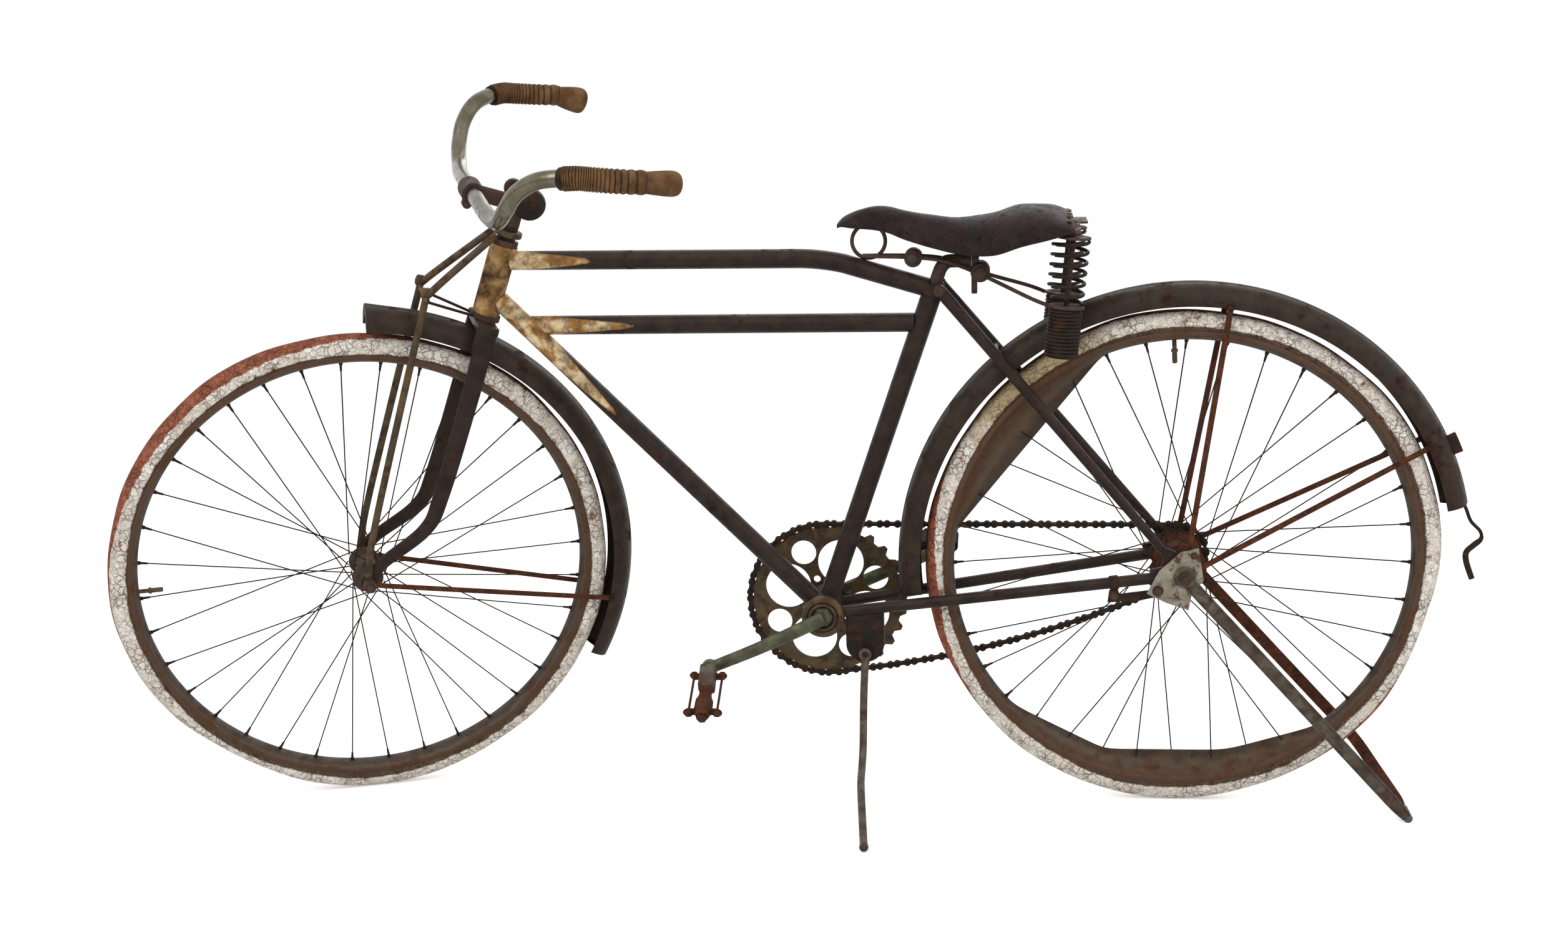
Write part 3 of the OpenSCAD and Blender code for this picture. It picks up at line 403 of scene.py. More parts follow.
rust_tones, given, result = new_group(
    "rust_tones", [("Vector", "Vector", None), ("Scale", "Float", 60.0), ("Dark", "Color", (0.03, 0.015, 0.01, 1)),
                   ("Mid", "Color", (0.12, 0.045, 0.02, 1)), ("Light", "Color", (0.3, 0.12, 0.04, 1))],
    [("Color", "Color")])
coarse = ramp(rust_tones, noise(rust_tones, given["Vector"], given["Scale"], 6.0, 0.65), 0.36, 0.62)
fine_scale = maths(rust_tones, "MULTIPLY", given["Scale"], 5.3)
fine = ramp(rust_tones, noise(rust_tones, given["Vector"], fine_scale, 6.0, 0.7), 0.55, 0.75)
tone = mixed(rust_tones, coarse, given["Dark"], given["Mid"])
rust_tones.links.new(mixed(rust_tones, fine, tone, given["Light"]), result["Color"])

grain, given, result = new_group(
    "grain", [("Vector", "Vector", None), ("Scale", "Float", 400.0), ("Strength", "Float", 0.4),
              ("Extra Height", "Float", 0.0)], [("Height", "Float"), ("Normal", "Vector")])
small = noise(grain, given["Vector"], given["Scale"], 5.0, 0.65)
wide = noise(grain, given["Vector"], maths(grain, "MULTIPLY", given["Scale"], 0.2), 3.0)
height = maths(grain, "ADD", small, maths(grain, "ADD", wide, given["Extra Height"]))
bumped = node(grain, "Bump", {"Strength": given["Strength"], "Distance": 0.001, "Height": height})
grain.links.new(height, result["Height"])
grain.links.new(bumped.outputs["Normal"], result["Normal"])

cracks, given, result = new_group(
    "cracks", [("Vector", "Vector", None), ("Scale", "Float", 120.0), ("Width", "Float", 0.05),
               ("Stray", "Float", 0.02)], [("Mask", "Float")])
wander = node(cracks, "TexNoise", {"Vector": given["Vector"], "Scale": given["Scale"], "Detail": 3.0})
shift = node(cracks, "VectorMath", {0: wander.outputs["Color"], "Scale": given["Stray"]}, operation="SCALE")
bent = node(cracks, "VectorMath", {0: given["Vector"], 1: shift.outputs[0]}, operation="ADD")
cells = node(cracks, "TexVoronoi", {"Vector": bent.outputs[0], "Scale": given["Scale"]},
             feature="DISTANCE_TO_EDGE")
line = ramp(cracks, cells.outputs["Distance"], 0.0, given["Width"], 1.0, 0.0)
broken = ramp(cracks, noise(cracks, given["Vector"], maths(cracks, "MULTIPLY", given["Scale"], 0.35)), 0.38, 0.56)
cracks.links.new(maths(cracks, "MULTIPLY", line, broken), result["Mask"])

dust, given, result = new_group(
    "settled_dust", [("Vector", "Vector", None), ("Amount", "Float", 0.3)], [("Mask", "Float")])
surface = node(dust, "NewGeometry")
slope = node(dust, "SeparateXYZ", {"Vector": surface.outputs["Normal"]})
upper_side = ramp(dust, slope.outputs["Z"], 0.2, 1.0)
cloudy = ramp(dust, noise(dust, given["Vector"], 55.0), 0.35, 0.7)
dusty = maths(dust, "MULTIPLY", maths(dust, "MULTIPLY", upper_side, cloudy), given["Amount"], True)
dust.links.new(dusty, result["Mask"])
print("groups", [g.name for g in bpy.data.node_groups])

# %% [markdown]
# ## Finishes
# Enamel that has stood outdoors keeps a little gloss, loses it where rust breaks through, and
# both carry a film of dust. One function builds that order of layers: bare finish, rust patches,
# dust, then grain. Colours are written as they are read from a paint card, from 0 to 255.

# %% One builder for every finish
def card(r, g, b):
    """A paint card's 0 to 255 colour as light: each channel over 255, through the sRGB curve."""
    c = np.array([r, g, b]) / 255
    return tuple(np.where(c <= 0.04045, c / 12.92, ((c + 0.055) / 1.055) ** 2.4).tolist())


RUST = ((40, 26, 20), (76, 46, 31), (122, 72, 40))
DUST = card(150, 138, 122)


def finish(name, base, share=0.4, patch=28.0, metal=0.0, gloss=0.45, rust=RUST, dusty=0.08, bumps=0.5,
           extra=None, second=None, sheen=0.13, softness=0.04):
    """A weathered finish: the base colour, varied by a second one, rust patches over a share of
    it, then whatever extra adds, dust on upward faces and a fine grain. A higher patch value
    makes smaller patches, gloss is the bare roughness, and sheen the mirror share of paint."""
    material = bpy.data.materials.new(name)
    material.use_nodes = True
    tree = material.node_tree
    tree.nodes.clear()
    place = node(tree, "TexCoord").outputs["Object"]
    ground = card(*base)
    other = card(*second) if second else tuple(c * 0.6 for c in ground)
    colour = mixed(tree, ramp(tree, noise(tree, place, 46.0, 6.0), 0.38, 0.66), other, ground)
    mask = use(tree, patches, {"Vector": place, "Scale": patch, "Share": share, "Softness": softness})["Mask"]
    dark, mid, light = (card(*c) for c in rust)
    tones = use(tree, rust_tones, {"Vector": place, "Scale": 70.0, "Dark": dark, "Mid": mid, "Light": light})
    colour = mixed(tree, mask, colour, tones["Color"])
    heights = maths(tree, "MULTIPLY", mask, 0.6)
    if extra:
        colour, heights = extra(tree, place, colour, heights)
    settled = use(tree, dust, {"Vector": place, "Amount": dusty})["Mask"]
    colour = mixed(tree, settled, colour, DUST)
    covered = maths(tree, "MAXIMUM", mask, settled)
    rough = ramp(tree, covered, 0.0, 1.0, gloss, 0.88)
    rough = maths(tree, "ADD", rough, ramp(tree, noise(tree, place, 130.0), 0.3, 0.7, -0.07, 0.07), True)
    skin = use(tree, grain, {"Vector": place, "Scale": 700.0, "Strength": bumps, "Extra Height": heights})
    shader = node(tree, "BsdfPrincipled", {"Base Color": colour, "Roughness": rough, "Normal": skin["Normal"]})
    if metal:
        tree.links.new(ramp(tree, covered, 0.0, 1.0, metal, 0.0), shader.inputs["Metallic"])
    else:
        shader.inputs["Specular IOR Level"].default_value = sheen
    node(tree, "OutputMaterial", {"Surface": shader.outputs[0]})
    return material


def attribute(tree, name):
    return node(tree, "Attribute", attribute_name=name).outputs["Fac"]


def darts(tree, place, colour, heights):
    """Cream paint where the dart attribute is above zero, golden brown towards its ragged edge."""
    ragged = ramp(tree, noise(tree, place, 120.0, 7.0, 0.7), 0.3, 0.7, -0.22, 0.22)
    reach = maths(tree, "ADD", attribute(tree, "dart"), ragged)
    inside = ramp(tree, reach, 0.24, 0.4)
    worn = use(tree, patches, {"Vector": place, "Scale": 60.0, "Share": 0.4, "Softness": 0.1})["Mask"]
    kept = maths(tree, "SUBTRACT", 1.0, maths(tree, "MULTIPLY", worn, 0.7))
    gold = mixed(tree, ramp(tree, noise(tree, place, 60.0), 0.35, 0.65), card(118, 78, 36), card(158, 112, 58))
    patchy = ramp(tree, noise(tree, place, 45.0, 6.0), 0.43, 0.58)
    cream = mixed(tree, patchy, card(146, 104, 54), card(212, 190, 150))
    paint = mixed(tree, ramp(tree, reach, 0.35, 0.85), gold, cream)
    return mixed(tree, maths(tree, "MULTIPLY", inside, kept), colour, paint), heights


def grooves(tree, place, colour, heights):
    """Painted shade in the grooves between a grip's ribs, where the groove attribute is near one."""
    # painted shade: dark colour in the recesses between the ribs
    painted_groove_shade = maths(tree, "MULTIPLY", ramp(tree, attribute(tree, "groove"), 0.25, 0.7), 0.85, True)
    return mixed(tree, painted_groove_shade, colour, card(34, 24, 18)), heights


def tyre_paint(tree, place, colour, heights):
    """White paint over the wall, red rubber on the tread, rust bled from the rim, and cracks."""
    ragged = ramp(tree, noise(tree, place, 60.0, 7.0, 0.65), 0.3, 0.7, -0.2, 0.2)
    tread = ramp(tree, maths(tree, "ADD", attribute(tree, "tread"), ragged), 0.46, 0.54)
    rubber = mixed(tree, ramp(tree, noise(tree, place, 90.0), 0.35, 0.65), card(124, 66, 48), card(170, 104, 78))
    stained = mixed(tree, ramp(tree, maths(tree, "ADD", attribute(tree, "stain"), ragged), 0.4, 0.75), colour,
                    card(176, 156, 120))
    bled = ramp(tree, maths(tree, "ADD", attribute(tree, "bleed"), ragged), 0.36, 0.6, 0.0, 0.94)
    tones = use(tree, rust_tones, {"Vector": place, "Scale": 50.0, "Dark": card(46, 31, 17), "Mid": card(74, 48, 23),
                                   "Light": card(112, 74, 38)})
    stained = mixed(tree, bled, stained, tones["Color"])
    colour = mixed(tree, tread, stained, rubber)
    lines = use(tree, cracks, {"Vector": place, "Scale": 105.0, "Width": 0.085, "Stray": 0.009})["Mask"]
    hair = use(tree, cracks, {"Vector": place, "Scale": 260.0, "Width": 0.07, "Stray": 0.005})["Mask"]
    lines = maths(tree, "MAXIMUM", lines, maths(tree, "MULTIPLY", hair, 0.6))
    colour = mixed(tree, maths(tree, "MULTIPLY", lines, 0.85), colour, card(74, 54, 42))
    return colour, maths(tree, "SUBTRACT", heights, maths(tree, "MULTIPLY", lines, 2.2))


def rim_rust_highlight_and_shade(tree, place, colour, heights):
    """Orange rust next to the tyre, a painted highlight as a paler band across the middle, and painted shade as a
    dark edge towards the hub.
    """
    ragged = ramp(tree, noise(tree, place, 34.0, 6.0), 0.3, 0.7, -0.14, 0.14)
    inward = maths(tree, "ADD", attribute(tree, "inward"), ragged)
    # painted highlight: a paler band across the middle of the rim's trough
    painted_highlight_band = maths(tree, "MULTIPLY", ramp(tree, inward, 0.34, 0.48), ramp(tree, inward, 0.6, 0.76, 0.5, 0.0))
    colour = mixed(tree, ramp(tree, inward, 0.2, 0.42, 0.65, 0.0), colour, card(78, 45, 17))
    colour = mixed(tree, painted_highlight_band, colour, card(82, 65, 43))
    # painted shade: the trough turns darker towards the hub
    return mixed(tree, ramp(tree, inward, 0.62, 0.95, 0.0, 0.8), colour, card(42, 30, 18)), heights


def leather_cracks(tree, place, colour, heights):
    """Worn reddish patches, and dark cracks that also sink into the hide."""
    lines = use(tree, cracks, {"Vector": place, "Scale": 230.0, "Width": 0.1, "Stray": 0.006})["Mask"]
    worn = ramp(tree, noise(tree, place, 34.0, 5.0), 0.5, 0.68)
    colour = mixed(tree, maths(tree, "MULTIPLY", worn, 0.5), colour, card(62, 44, 40))
    return (mixed(tree, maths(tree, "MULTIPLY", lines, 0.7), colour, card(18, 12, 12)),
            maths(tree, "SUBTRACT", heights, maths(tree, "MULTIPLY", lines, 1.6)))


DEEP_RUST = ((34, 22, 18), (58, 38, 28), (86, 56, 36))
FINISHES = {
    "frame_paint": dict(base=(34, 25, 22), share=0.24, patch=40.0, gloss=0.3, rust=DEEP_RUST, second=(50, 38, 32),
                        extra=darts),
    "head_paint": dict(base=(192, 158, 108), share=0.58, patch=24.0, gloss=0.4, second=(140, 98, 50), softness=0.1,
                       rust=((44, 31, 20), (84, 56, 30), (130, 90, 46))),
    "fender_paint": dict(base=(37, 28, 24), share=0.3, patch=34.0, gloss=0.32, rust=DEEP_RUST, second=(54, 42, 32)),
    "rusty_steel": dict(base=(62, 48, 38), share=0.6, patch=60.0, metal=0.35, gloss=0.5,
                        rust=((38, 26, 20), (72, 44, 30), (120, 72, 38))),
    "red_rust": dict(base=(72, 44, 33), share=0.6, patch=60.0, gloss=0.7,
                     rust=((46, 27, 20), (90, 49, 31), (140, 76, 38))),
    "dark_steel": dict(base=(38, 30, 23), share=0.4, patch=70.0, gloss=0.45, rust=DEEP_RUST),
    "cream_plate": dict(base=(158, 154, 138), share=0.34, patch=70.0, metal=0.3, gloss=0.5, second=(118, 108, 90)),
    "nickel": dict(base=(122, 117, 101), share=0.14, patch=80.0, metal=0.95, gloss=0.17, second=(96, 91, 74),
                   bumps=0.12, rust=((48, 40, 28), (78, 64, 40), (112, 90, 56))),
    "brass_rust": dict(base=(88, 64, 18), share=0.42, patch=50.0, metal=0.15, gloss=0.5, second=(52, 40, 20),
                       rust=((34, 24, 14), (60, 40, 20), (104, 70, 30))),
    "grey_steel": dict(base=(92, 96, 70), share=0.26, patch=70.0, metal=0.4, gloss=0.42, second=(58, 58, 40),
                       rust=((40, 34, 22), (66, 54, 32), (96, 76, 44))),
    "stand_steel": dict(base=(100, 92, 76), share=0.45, patch=60.0, metal=0.2, gloss=0.5, second=(62, 52, 41),
                        softness=0.09, rust=((44, 32, 25), (74, 52, 38), (102, 74, 54))),
    "grip_rubber": dict(base=(118, 88, 58), share=0.3, patch=60.0, gloss=0.8, bumps=0.7, second=(88, 60, 36),
                        rust=((62, 44, 30), (88, 64, 42), (134, 104, 68)), extra=grooves, softness=0.09),
    "pedal_rubber": dict(base=(40, 36, 34), share=0.2, patch=60.0, gloss=0.8, bumps=0.7),
    "saddle_hide": dict(base=(30, 22, 23), share=0.24, patch=40.0, gloss=0.5, second=(44, 32, 31), dusty=0.0,
                        rust=((26, 19, 19), (46, 33, 30), (70, 50, 42)), extra=leather_cracks, sheen=0.1),
    "tyre_wall": dict(base=(238, 232, 222), share=0.2, patch=60.0, gloss=0.72, bumps=0.8, second=(216, 204, 190),
                      rust=((110, 80, 62), (158, 126, 100), (196, 172, 150)), extra=tyre_paint),
    "rim_rust": dict(base=(68, 46, 24), share=0.4, patch=40.0, metal=0.1, gloss=0.6, second=(48, 33, 18),
                     rust=((38, 25, 14), (76, 44, 20), (110, 66, 30)), extra=rim_rust_highlight_and_shade),
}
MATERIALS = {name: finish(name, **look) for name, look in FINISHES.items()}
print("finishes", len(MATERIALS))

# %% [markdown]
# ## Frame pieces that keep their shape
# The tubes, lugs, hubs and plates of the frame already have their real shape, so they only get a
# finish. The record names a finish for each of them, and the same names are used here.

# %% Finishes for the frame's own nodes
SLOTS = {p["node"]: p["material_slot"] for p in frame["record"]["subparts"]}
for node_name, thing in frame["nodes"].items():
    thing.data.materials.clear()
    thing.data.materials.append(MATERIALS[SLOTS[node_name]])
BODIES = {n: b for b, nodes in frame["record"]["behaviour"]["bodies"].items() for n in nodes}


def stand_for(node_name, shape, into=bike, **more):
    """A piece in place of one frame node, on the same body and with the same finish."""
    slot = SLOTS[node_name]
    piece(node_name + "_made", shape, into, BODIES[node_name], MATERIALS[slot], slot, (node_name,), **more)


def beside(name, node_name, shape, into=bike, slot=None, **more):
    """A piece added next to a frame node, on its body."""
    slot = slot or SLOTS[node_name]
    piece(name, shape, into, BODIES[node_name], MATERIALS[slot], slot, **more)


print("finished nodes", len(SLOTS))

# %% [markdown]
# ## Tyres
# Old single-tube tyres are one closed rubber ring glued to the rim, here painted white. Years of
# standing have left them lumpy, with flat spots, and the paint has cracked off the tread. A ring
# with two angles suits this best: one goes round the wheel, the other round the tube.

# %% Two tyres
def around(hub, angle, radius, y):
    """Points at an angle about a hub, counted from the rear upwards, at a radius and an offset."""
    return np.stack([hub[0] + radius * np.cos(angle), np.broadcast_to(y, np.shape(radius * angle)),
                     hub[2] + radius * np.sin(angle)], -1)


def window(angle, middle, half):
    """1 at the middle angle, falling to 0 at half to each side along a squared cosine. Degrees."""
    off = np.abs((np.degrees(angle) - middle + 180) % 360 - 180)
    return np.cos(np.clip(off / half, 0, 1) * np.pi / 2) ** 2


def tyre(hub, flats, bare, stains, bled, phase):
    """r = ring line + R cos t, y = R sin t. Dents and lumps only take from the outer half. Flats,
    bare tread, stains and rust bled from the rim are windows: middle and half width in degrees,
    and then how deep or how far they reach."""
    a = full_turn(300)[:, None]
    t = np.linspace(-np.pi, np.pi, 44, endpoint=False)[None, :]
    lumps = 1.1 * (1 + np.sin(5 * a + phase)) + 0.6 * (1 + np.sin(11 * a + 2 * phase)) + 0.3 * (1 + np.sin(23 * a))
    lumps = lumps * (1 - window(a, 270, 30))
    for middle, half, depth in flats:
        lumps = lumps + depth * window(a, middle, half)
    radius = RING_LINE + TYRE_R * np.cos(t) - lumps * (0.5 + 0.5 * np.cos(t)) ** 2
    grid = around(hub, a + 0 * t, radius, TYRE_R * np.sin(t) + 0 * a)
    off_tread = np.abs(np.degrees(t))
    limit = 28 + sum(extra * window(a, middle, half) for middle, half, extra in bare)
    tread = np.clip(0.5 + (limit - off_tread) / 40, 0, 1)
    stain = sum(window(a, middle, half) for middle, half in stains) * np.ones_like(t)
    edge = 112 - sum(extra * window(a, middle, half) for middle, half, extra in bled) + 3 * np.sin(9 * a + phase)
    bleed = np.clip(0.5 + (off_tread - edge) / 24, 0, 1)
    return grid_shape(grid, True), {"tread": tread, "stain": np.clip(stain, 0, 1), "bleed": bleed}


TYRES = {
    "front_tyre": dict(hub=FRONT_HUB, flats=[(231, 30, 6.5)], bare=[(118, 55, 42), (150, 32, 20)],
                       stains=[(250, 1)], bled=[(262, 95, 16)], phase=0.7),
    "rear_tyre": dict(hub=REAR_HUB, flats=[(341, 26, 6)], bare=[(187, 42, 56), (318, 34, 30)],
                      stains=[(128, 40)], bled=[(70, 100, 14), (285, 80, 14)], phase=2.1),
}
for tyre_name, look in TYRES.items():
    shape, values = tyre(**look)
    stand_for(tyre_name, shape, turned if tyre_name == "front_tyre" else bike, sharp=180, values=values)

# %% [markdown]
# ## Rims, spoke ends and valves
# The rims are rolled steel troughs. The rear one is buckled: its inner wall has been pulled
# towards the hub above the chain and again at the floor, so its edge runs straight there. Each
# spoke ends in a nipple that pokes through the rim, and a valve stands out of each tyre.

# %% Two rims
RIM_DEPTH = 4
RIM_HALF = 17
RIM_LOW = RING_LINE - TYRE_R - RIM_DEPTH
CORNER = 0.35


def rim(hub, chords):
    """A trough round the wheel. The bed keeps a circle about the tyre's tube and the back a larger
    one. Where a chord d / cos(a - a0) passes inside the rim, the back is drawn in to it, most at
    the middle: by (1 - |y| / 15) to the power 3.3. The soft least of rim and chords, the log of
    a sum of exponentials, rounds the corners between them."""
    a = full_turn(288)[:, None]
    u = np.linspace(-1, 1, 37)[None, :]
    y = RIM_HALF * np.sign(u) * np.abs(u) ** 1.7
    weight = np.ones_like(a)
    for middle, distance in chords:
        off = (a - math.radians(middle) + np.pi) % (2 * np.pi) - np.pi
        chord = distance / np.cos(np.clip(off, -0.7, 0.7))
        weight = weight + np.exp(CORNER * (RIM_LOW - chord)) * (np.abs(off) < 0.7)
    inner = RIM_LOW - np.log(weight) / CORNER
    pulled = (RIM_LOW - inner) * np.clip(1 - np.abs(y) / 15, 0, 1) ** 3.3
    back = RING_LINE - np.sqrt((TYRE_R + RIM_DEPTH) ** 2 - y**2) - pulled
    bed = RING_LINE - np.sqrt((TYRE_R + 0.4) ** 2 - y**2) + 0 * a
    roll = np.linspace(0, np.pi, 7)[None, 1:-1]
    lip_r = RING_LINE - 12.3
    lip_in = 2.6 * np.cos(roll) + 0 * a
    lip_y = RIM_HALF - 0.6 + 0.9 * np.sin(roll) + 0 * a
    radius = np.concatenate([back, lip_r - lip_in, bed[:, ::-1], lip_r + lip_in], 1)
    side = np.concatenate([y + 0 * a, lip_y, y[:, ::-1] + 0 * a, -lip_y], 1)
    inward = np.clip((lip_r - radius) / (lip_r - inner), 0, 1)
    return grid_shape(around(hub, a + 0 * radius, radius, side), True), {"inward": inward}


BUCKLES = [(141, 271), (243, 295), (270, 281), (287, 290)]
for rim_name, hub, into, chords in (("front_rim", FRONT_HUB, turned, []), ("rear_rim", REAR_HUB, bike, BUCKLES)):
    shape, values = rim(hub, chords)
    stand_for(rim_name, shape, into, sharp=50, values=values)

# %% Nipples and valves
FLANGE_Y = 30


def nipples(hub, flange_r):
    """Tapered ends, one along each spoke's own line from flange to rim."""
    k = np.arange(36)
    a = full_turn(36)
    pair = k // 2 % 2 == 0
    b = a + np.where(pair, 1, -1) * math.radians(60)
    y = np.where(k % 2 == 0, -1, 1) * (FLANGE_Y + np.where(pair, 2, -2))
    start = around(hub, b, flange_r + 1.2 + 0 * b, y)
    end = around(hub, a, RIM_LOW + 0 * a, 0)
    along = unit(end - start)
    side = unit(np.cross(along, (0, 1, 0)))
    turns = np.stack([along, side, np.cross(along, side)], 1)
    small = tube([(-14, 0, 0), (-13, 0, 0), (-4, 0, 0), (-3.4, 0, 0), (1, 0, 0)], [0.8, 1.5, 1.9, 2.7, 2.9], 10)
    return placed(small, end, turns)


def valve(hub, angle):
    """A valve stem with its cap, standing out of the rim towards the hub."""
    radii = RIM_LOW - np.array([-3, 12, 13, 16, 17, 31, 32])
    return tube(around(hub, math.radians(angle) + 0 * radii, radii, 0), [3, 3, 4.6, 4.6, 3.4, 3.4, 2.4], 18)


beside("front_nipples", "front_rim", nipples(FRONT_HUB, 22), turned, "dark_steel")
beside("rear_nipples", "rear_rim", nipples(REAR_HUB, 34), slot="dark_steel")
beside("front_valve", "front_tyre", valve(FRONT_HUB, 178), turned, "brass_rust")
beside("rear_valve", "rear_tyre", valve(REAR_HUB, 93), slot="brass_rust")

# %% [markdown]
# ## Main tubes with cream darts
# The tubes are enamelled nearly black, and their front ends carry pointed cream darts, painted
# over a mask. The tubes are swept again here so that each point can carry how far it lies inside
# its dart: the dart is longest along the sides of a tube and shortest above and below.

# %% Upper bar, lower bar and down tube
CROWN_S = math.sqrt(FENDER_R**2 - FORK_OFFSET**2) + 6
HEAD_S = CROWN_S + 20
HEAD_TOP_S = HEAD_S + 99
COLUMN_TOP_S = HEAD_TOP_S + 28
BB = np.array([HUB_X - 498, 0, 285])
SEAT_TOP = BB + (161, 0, 462)
SEAT_DIR = unit(SEAT_TOP - BB)


def on_seat(z):
    """The point of the seat tube's own line at a height."""
    return BB + SEAT_DIR * ((z - BB[2]) / SEAT_DIR[2])


def axis_at(z):
    """The point of the steering axis at a height."""
    return on_axis((z - STEER_FOOT[2]) / STEER_DIR[2])


def dart_tube(path, radius, long, short):
    """A round tube whose dart value is (reach - distance along) / 30, with the reach going from
    long at the sides to short above and below."""
    path = np.asarray(path, float)
    shape = tube(path, radius, 40)
    along = np.concatenate([[0], np.cumsum(np.linalg.norm(np.diff(path, axis=0), axis=1))])
    reach = short + (long - short) * np.abs(np.sin(full_turn(40))) ** 3
    value = ((reach[None, :] - along[:, None]) / 30).ravel()
    return shape, {"dart": np.clip(np.concatenate([value, [value[0], value[-1]]]), -1, 1)}


def line(a, b, steps=60):
    """Evenly spaced points from a to b."""
    return np.asarray(a) + (np.asarray(b) - a) * np.linspace(0, 1, steps)[:, None]


head_wall = 16
bend = np.radians(np.linspace(0, 13, 12))[:, None]
bend_line = np.array([55, 0, 785]) + 300 * (np.sin(bend) * (1, 0, 0) + (np.cos(bend) - 1) * (0, 0, 1))
upper_path = np.concatenate([line(axis_at(789) + (head_wall, 0, 0), bend_line[0])[:-1], bend_line,
                             line(bend_line[-1], on_seat(741) - (8, 0, -2))[1:]])
shape, values = dart_tube(upper_path, 13, 125, 40)
stand_for("upper_bar", shape, values=values)
down_top = on_axis(HEAD_S + 30)
down_dir = unit(BB - down_top)
down_path = line(down_top + down_dir * head_wall, BB - down_dir * 24)
shape, values = dart_tube(down_path, 13.5, 235, 120)
stand_for("down_tube", shape, values=values)
lower_start = down_top + (BB - down_top) * ((down_top[2] - 699) / (down_top[2] - BB[2]))
lower_path = line(lower_start, on_seat(696) - (11, 0, 0))
shape, values = dart_tube(lower_path, 13, 165, 55)
stand_for("lower_bar", shape, values=values)

# %% [markdown]
# ## Fork, truss rods and front end
# The blades are drawn oval tubes that get slimmer and curve forward to the hub. Two outside rods
# run from a collar on the steering column down to the axle and brace them, tied by a short cross
# bar with round ends. All of these are profiles carried along smooth lines.

# %% Fork
def steps_of(path, first, last):
    """Evenly spaced values from first to last, one for each point of a path."""
    return np.linspace(first, last, len(path))


def ring(centre, inner, outer, y0, y1, bevel=0.5):
    """A flat ring about the Y direction: its bevelled outline, turned once about its centre."""
    radius = np.array([inner, inner + bevel, outer - bevel, outer, outer, outer - bevel, inner + bevel, inner])
    y = np.array([y0 + bevel, y0, y0, y0 + bevel, y1 - bevel, y1, y1, y1 - bevel])
    return grid_shape(around(centre, full_turn(48)[:, None] + 0 * radius, radius, y + centre[1]), True)


def slab(a, b, half_w, half_h, side, round_by=3.0):
    """A bar of rounded rectangular section from a to b, with its end edges drawn in."""
    a, b = np.asarray(a, float), np.asarray(b, float)
    t = full_turn(32)
    u = np.sign(np.cos(t)) * np.abs(np.cos(t)) ** 0.35
    v = np.sign(np.sin(t)) * np.abs(np.sin(t)) ** 0.35
    shape = np.stack([half_w * u, half_h * v], -1)
    d = unit(b - a) * min(round_by, 0.2 * np.linalg.norm(b - a))
    shrink = 1 - 0.5 * round_by / max(half_w, half_h)
    profile = np.stack([shape * shrink, shape, shape, shape * shrink])
    return carried([a, a + 0.5 * d, b - 0.5 * d, b], profile, side)


shapes = [bar(on_axis(CROWN_S), on_axis(COLUMN_TOP_S), 12.7, 40),
          slab(on_axis(CROWN_S + 6, 0, -47), on_axis(CROWN_S + 6, 0, 47), 6, 15.5, STEER_BACK, 4.0)]
for s in (-1, 1):
    blade = smooth([on_axis(CROWN_S + 3, 0, s * 42), on_axis(CROWN_S - 90, 1, s * 43), on_axis(150, -2, s * 46),
                    on_axis(95, -12, s * 49), FRONT_HUB + (22, s * 52, 28), FRONT_HUB + (5, s * 52.5, 6)], 12)
    socket = smooth([on_axis(CROWN_S + 12, 0, s * 42), on_axis(CROWN_S - 4, 0, s * 42),
                     on_axis(CROWN_S - 26, 0, s * 42.3)], 5)
    between = len(socket) - 2
    shapes += [tube(blade, steps_of(blade, 14, 8), 32, flat=steps_of(blade, 6.5, 2.6)),
               ring(FRONT_HUB, 5, 11, s * 52.5 - 2.5, s * 52.5 + 2.5),
               tube(socket, [15.2] + [15.4] * between + [14.2], 32, flat=[7.6] + [7.8] * between + [6.8])]
stand_for("fork", joined(*shapes), turned)

# %% Truss rods
TRUSS_Y = 58.75
truss_top = on_axis(COLUMN_TOP_S - 10)
truss_bend = FRONT_HUB + (121, 0, 400)
collar = bar(on_axis(COLUMN_TOP_S - 14), on_axis(COLUMN_TOP_S - 6), 20, 40)
shapes = [collar, bar(truss_bend + (0, -44, 0), truss_bend + (0, 44, 0), 3)]
for s in (-1, 1):
    rod = smooth([truss_top + (-18, s * 15, 2), truss_bend + (5, s * 34, 6), truss_bend + (-4, s * 35, -12),
                  FRONT_HUB + (20, s * 52, 95), FRONT_HUB + (2, s * TRUSS_Y, 24),
                  FRONT_HUB + (0, s * TRUSS_Y, 4)], 12)
    knob = np.linspace(0, np.pi, 9)
    shapes += [tube(rod, 5, 24, flat=steps_of(rod, 4.4, 1.3)),
               ring(FRONT_HUB, 5, 9, s * TRUSS_Y - 1.25, s * TRUSS_Y + 1.25, 0.3),
               tube(truss_bend + (0, s * 43, 0) - s * 4.6 * np.cos(knob)[:, None] * (0, 1, 0),
                    4.6 * np.sin(knob) + 0.05, 20, side=(0, 0, 1))]
stand_for("truss_rods", joined(*shapes), turned)
brace = [line(truss_bend + (3, s * 30, -6), on_axis(CROWN_S + 14, -17, s * 9), 3) for s in (-1, 1)]
beside("truss_brace", "truss_rods", joined(*[tube(b, 2, 12) for b in brace]), turned, "dark_steel")

# %% [markdown]
# ## Fenders
# A fender is a half-round gutter of thin sheet with a raised crest along its middle and wired
# edges. It is one closed outline carried round the wheel. The front one ends in a flared tip.

# %% Two fenders
FENDER_HALF = 25
FENDER_SKIRT = 4


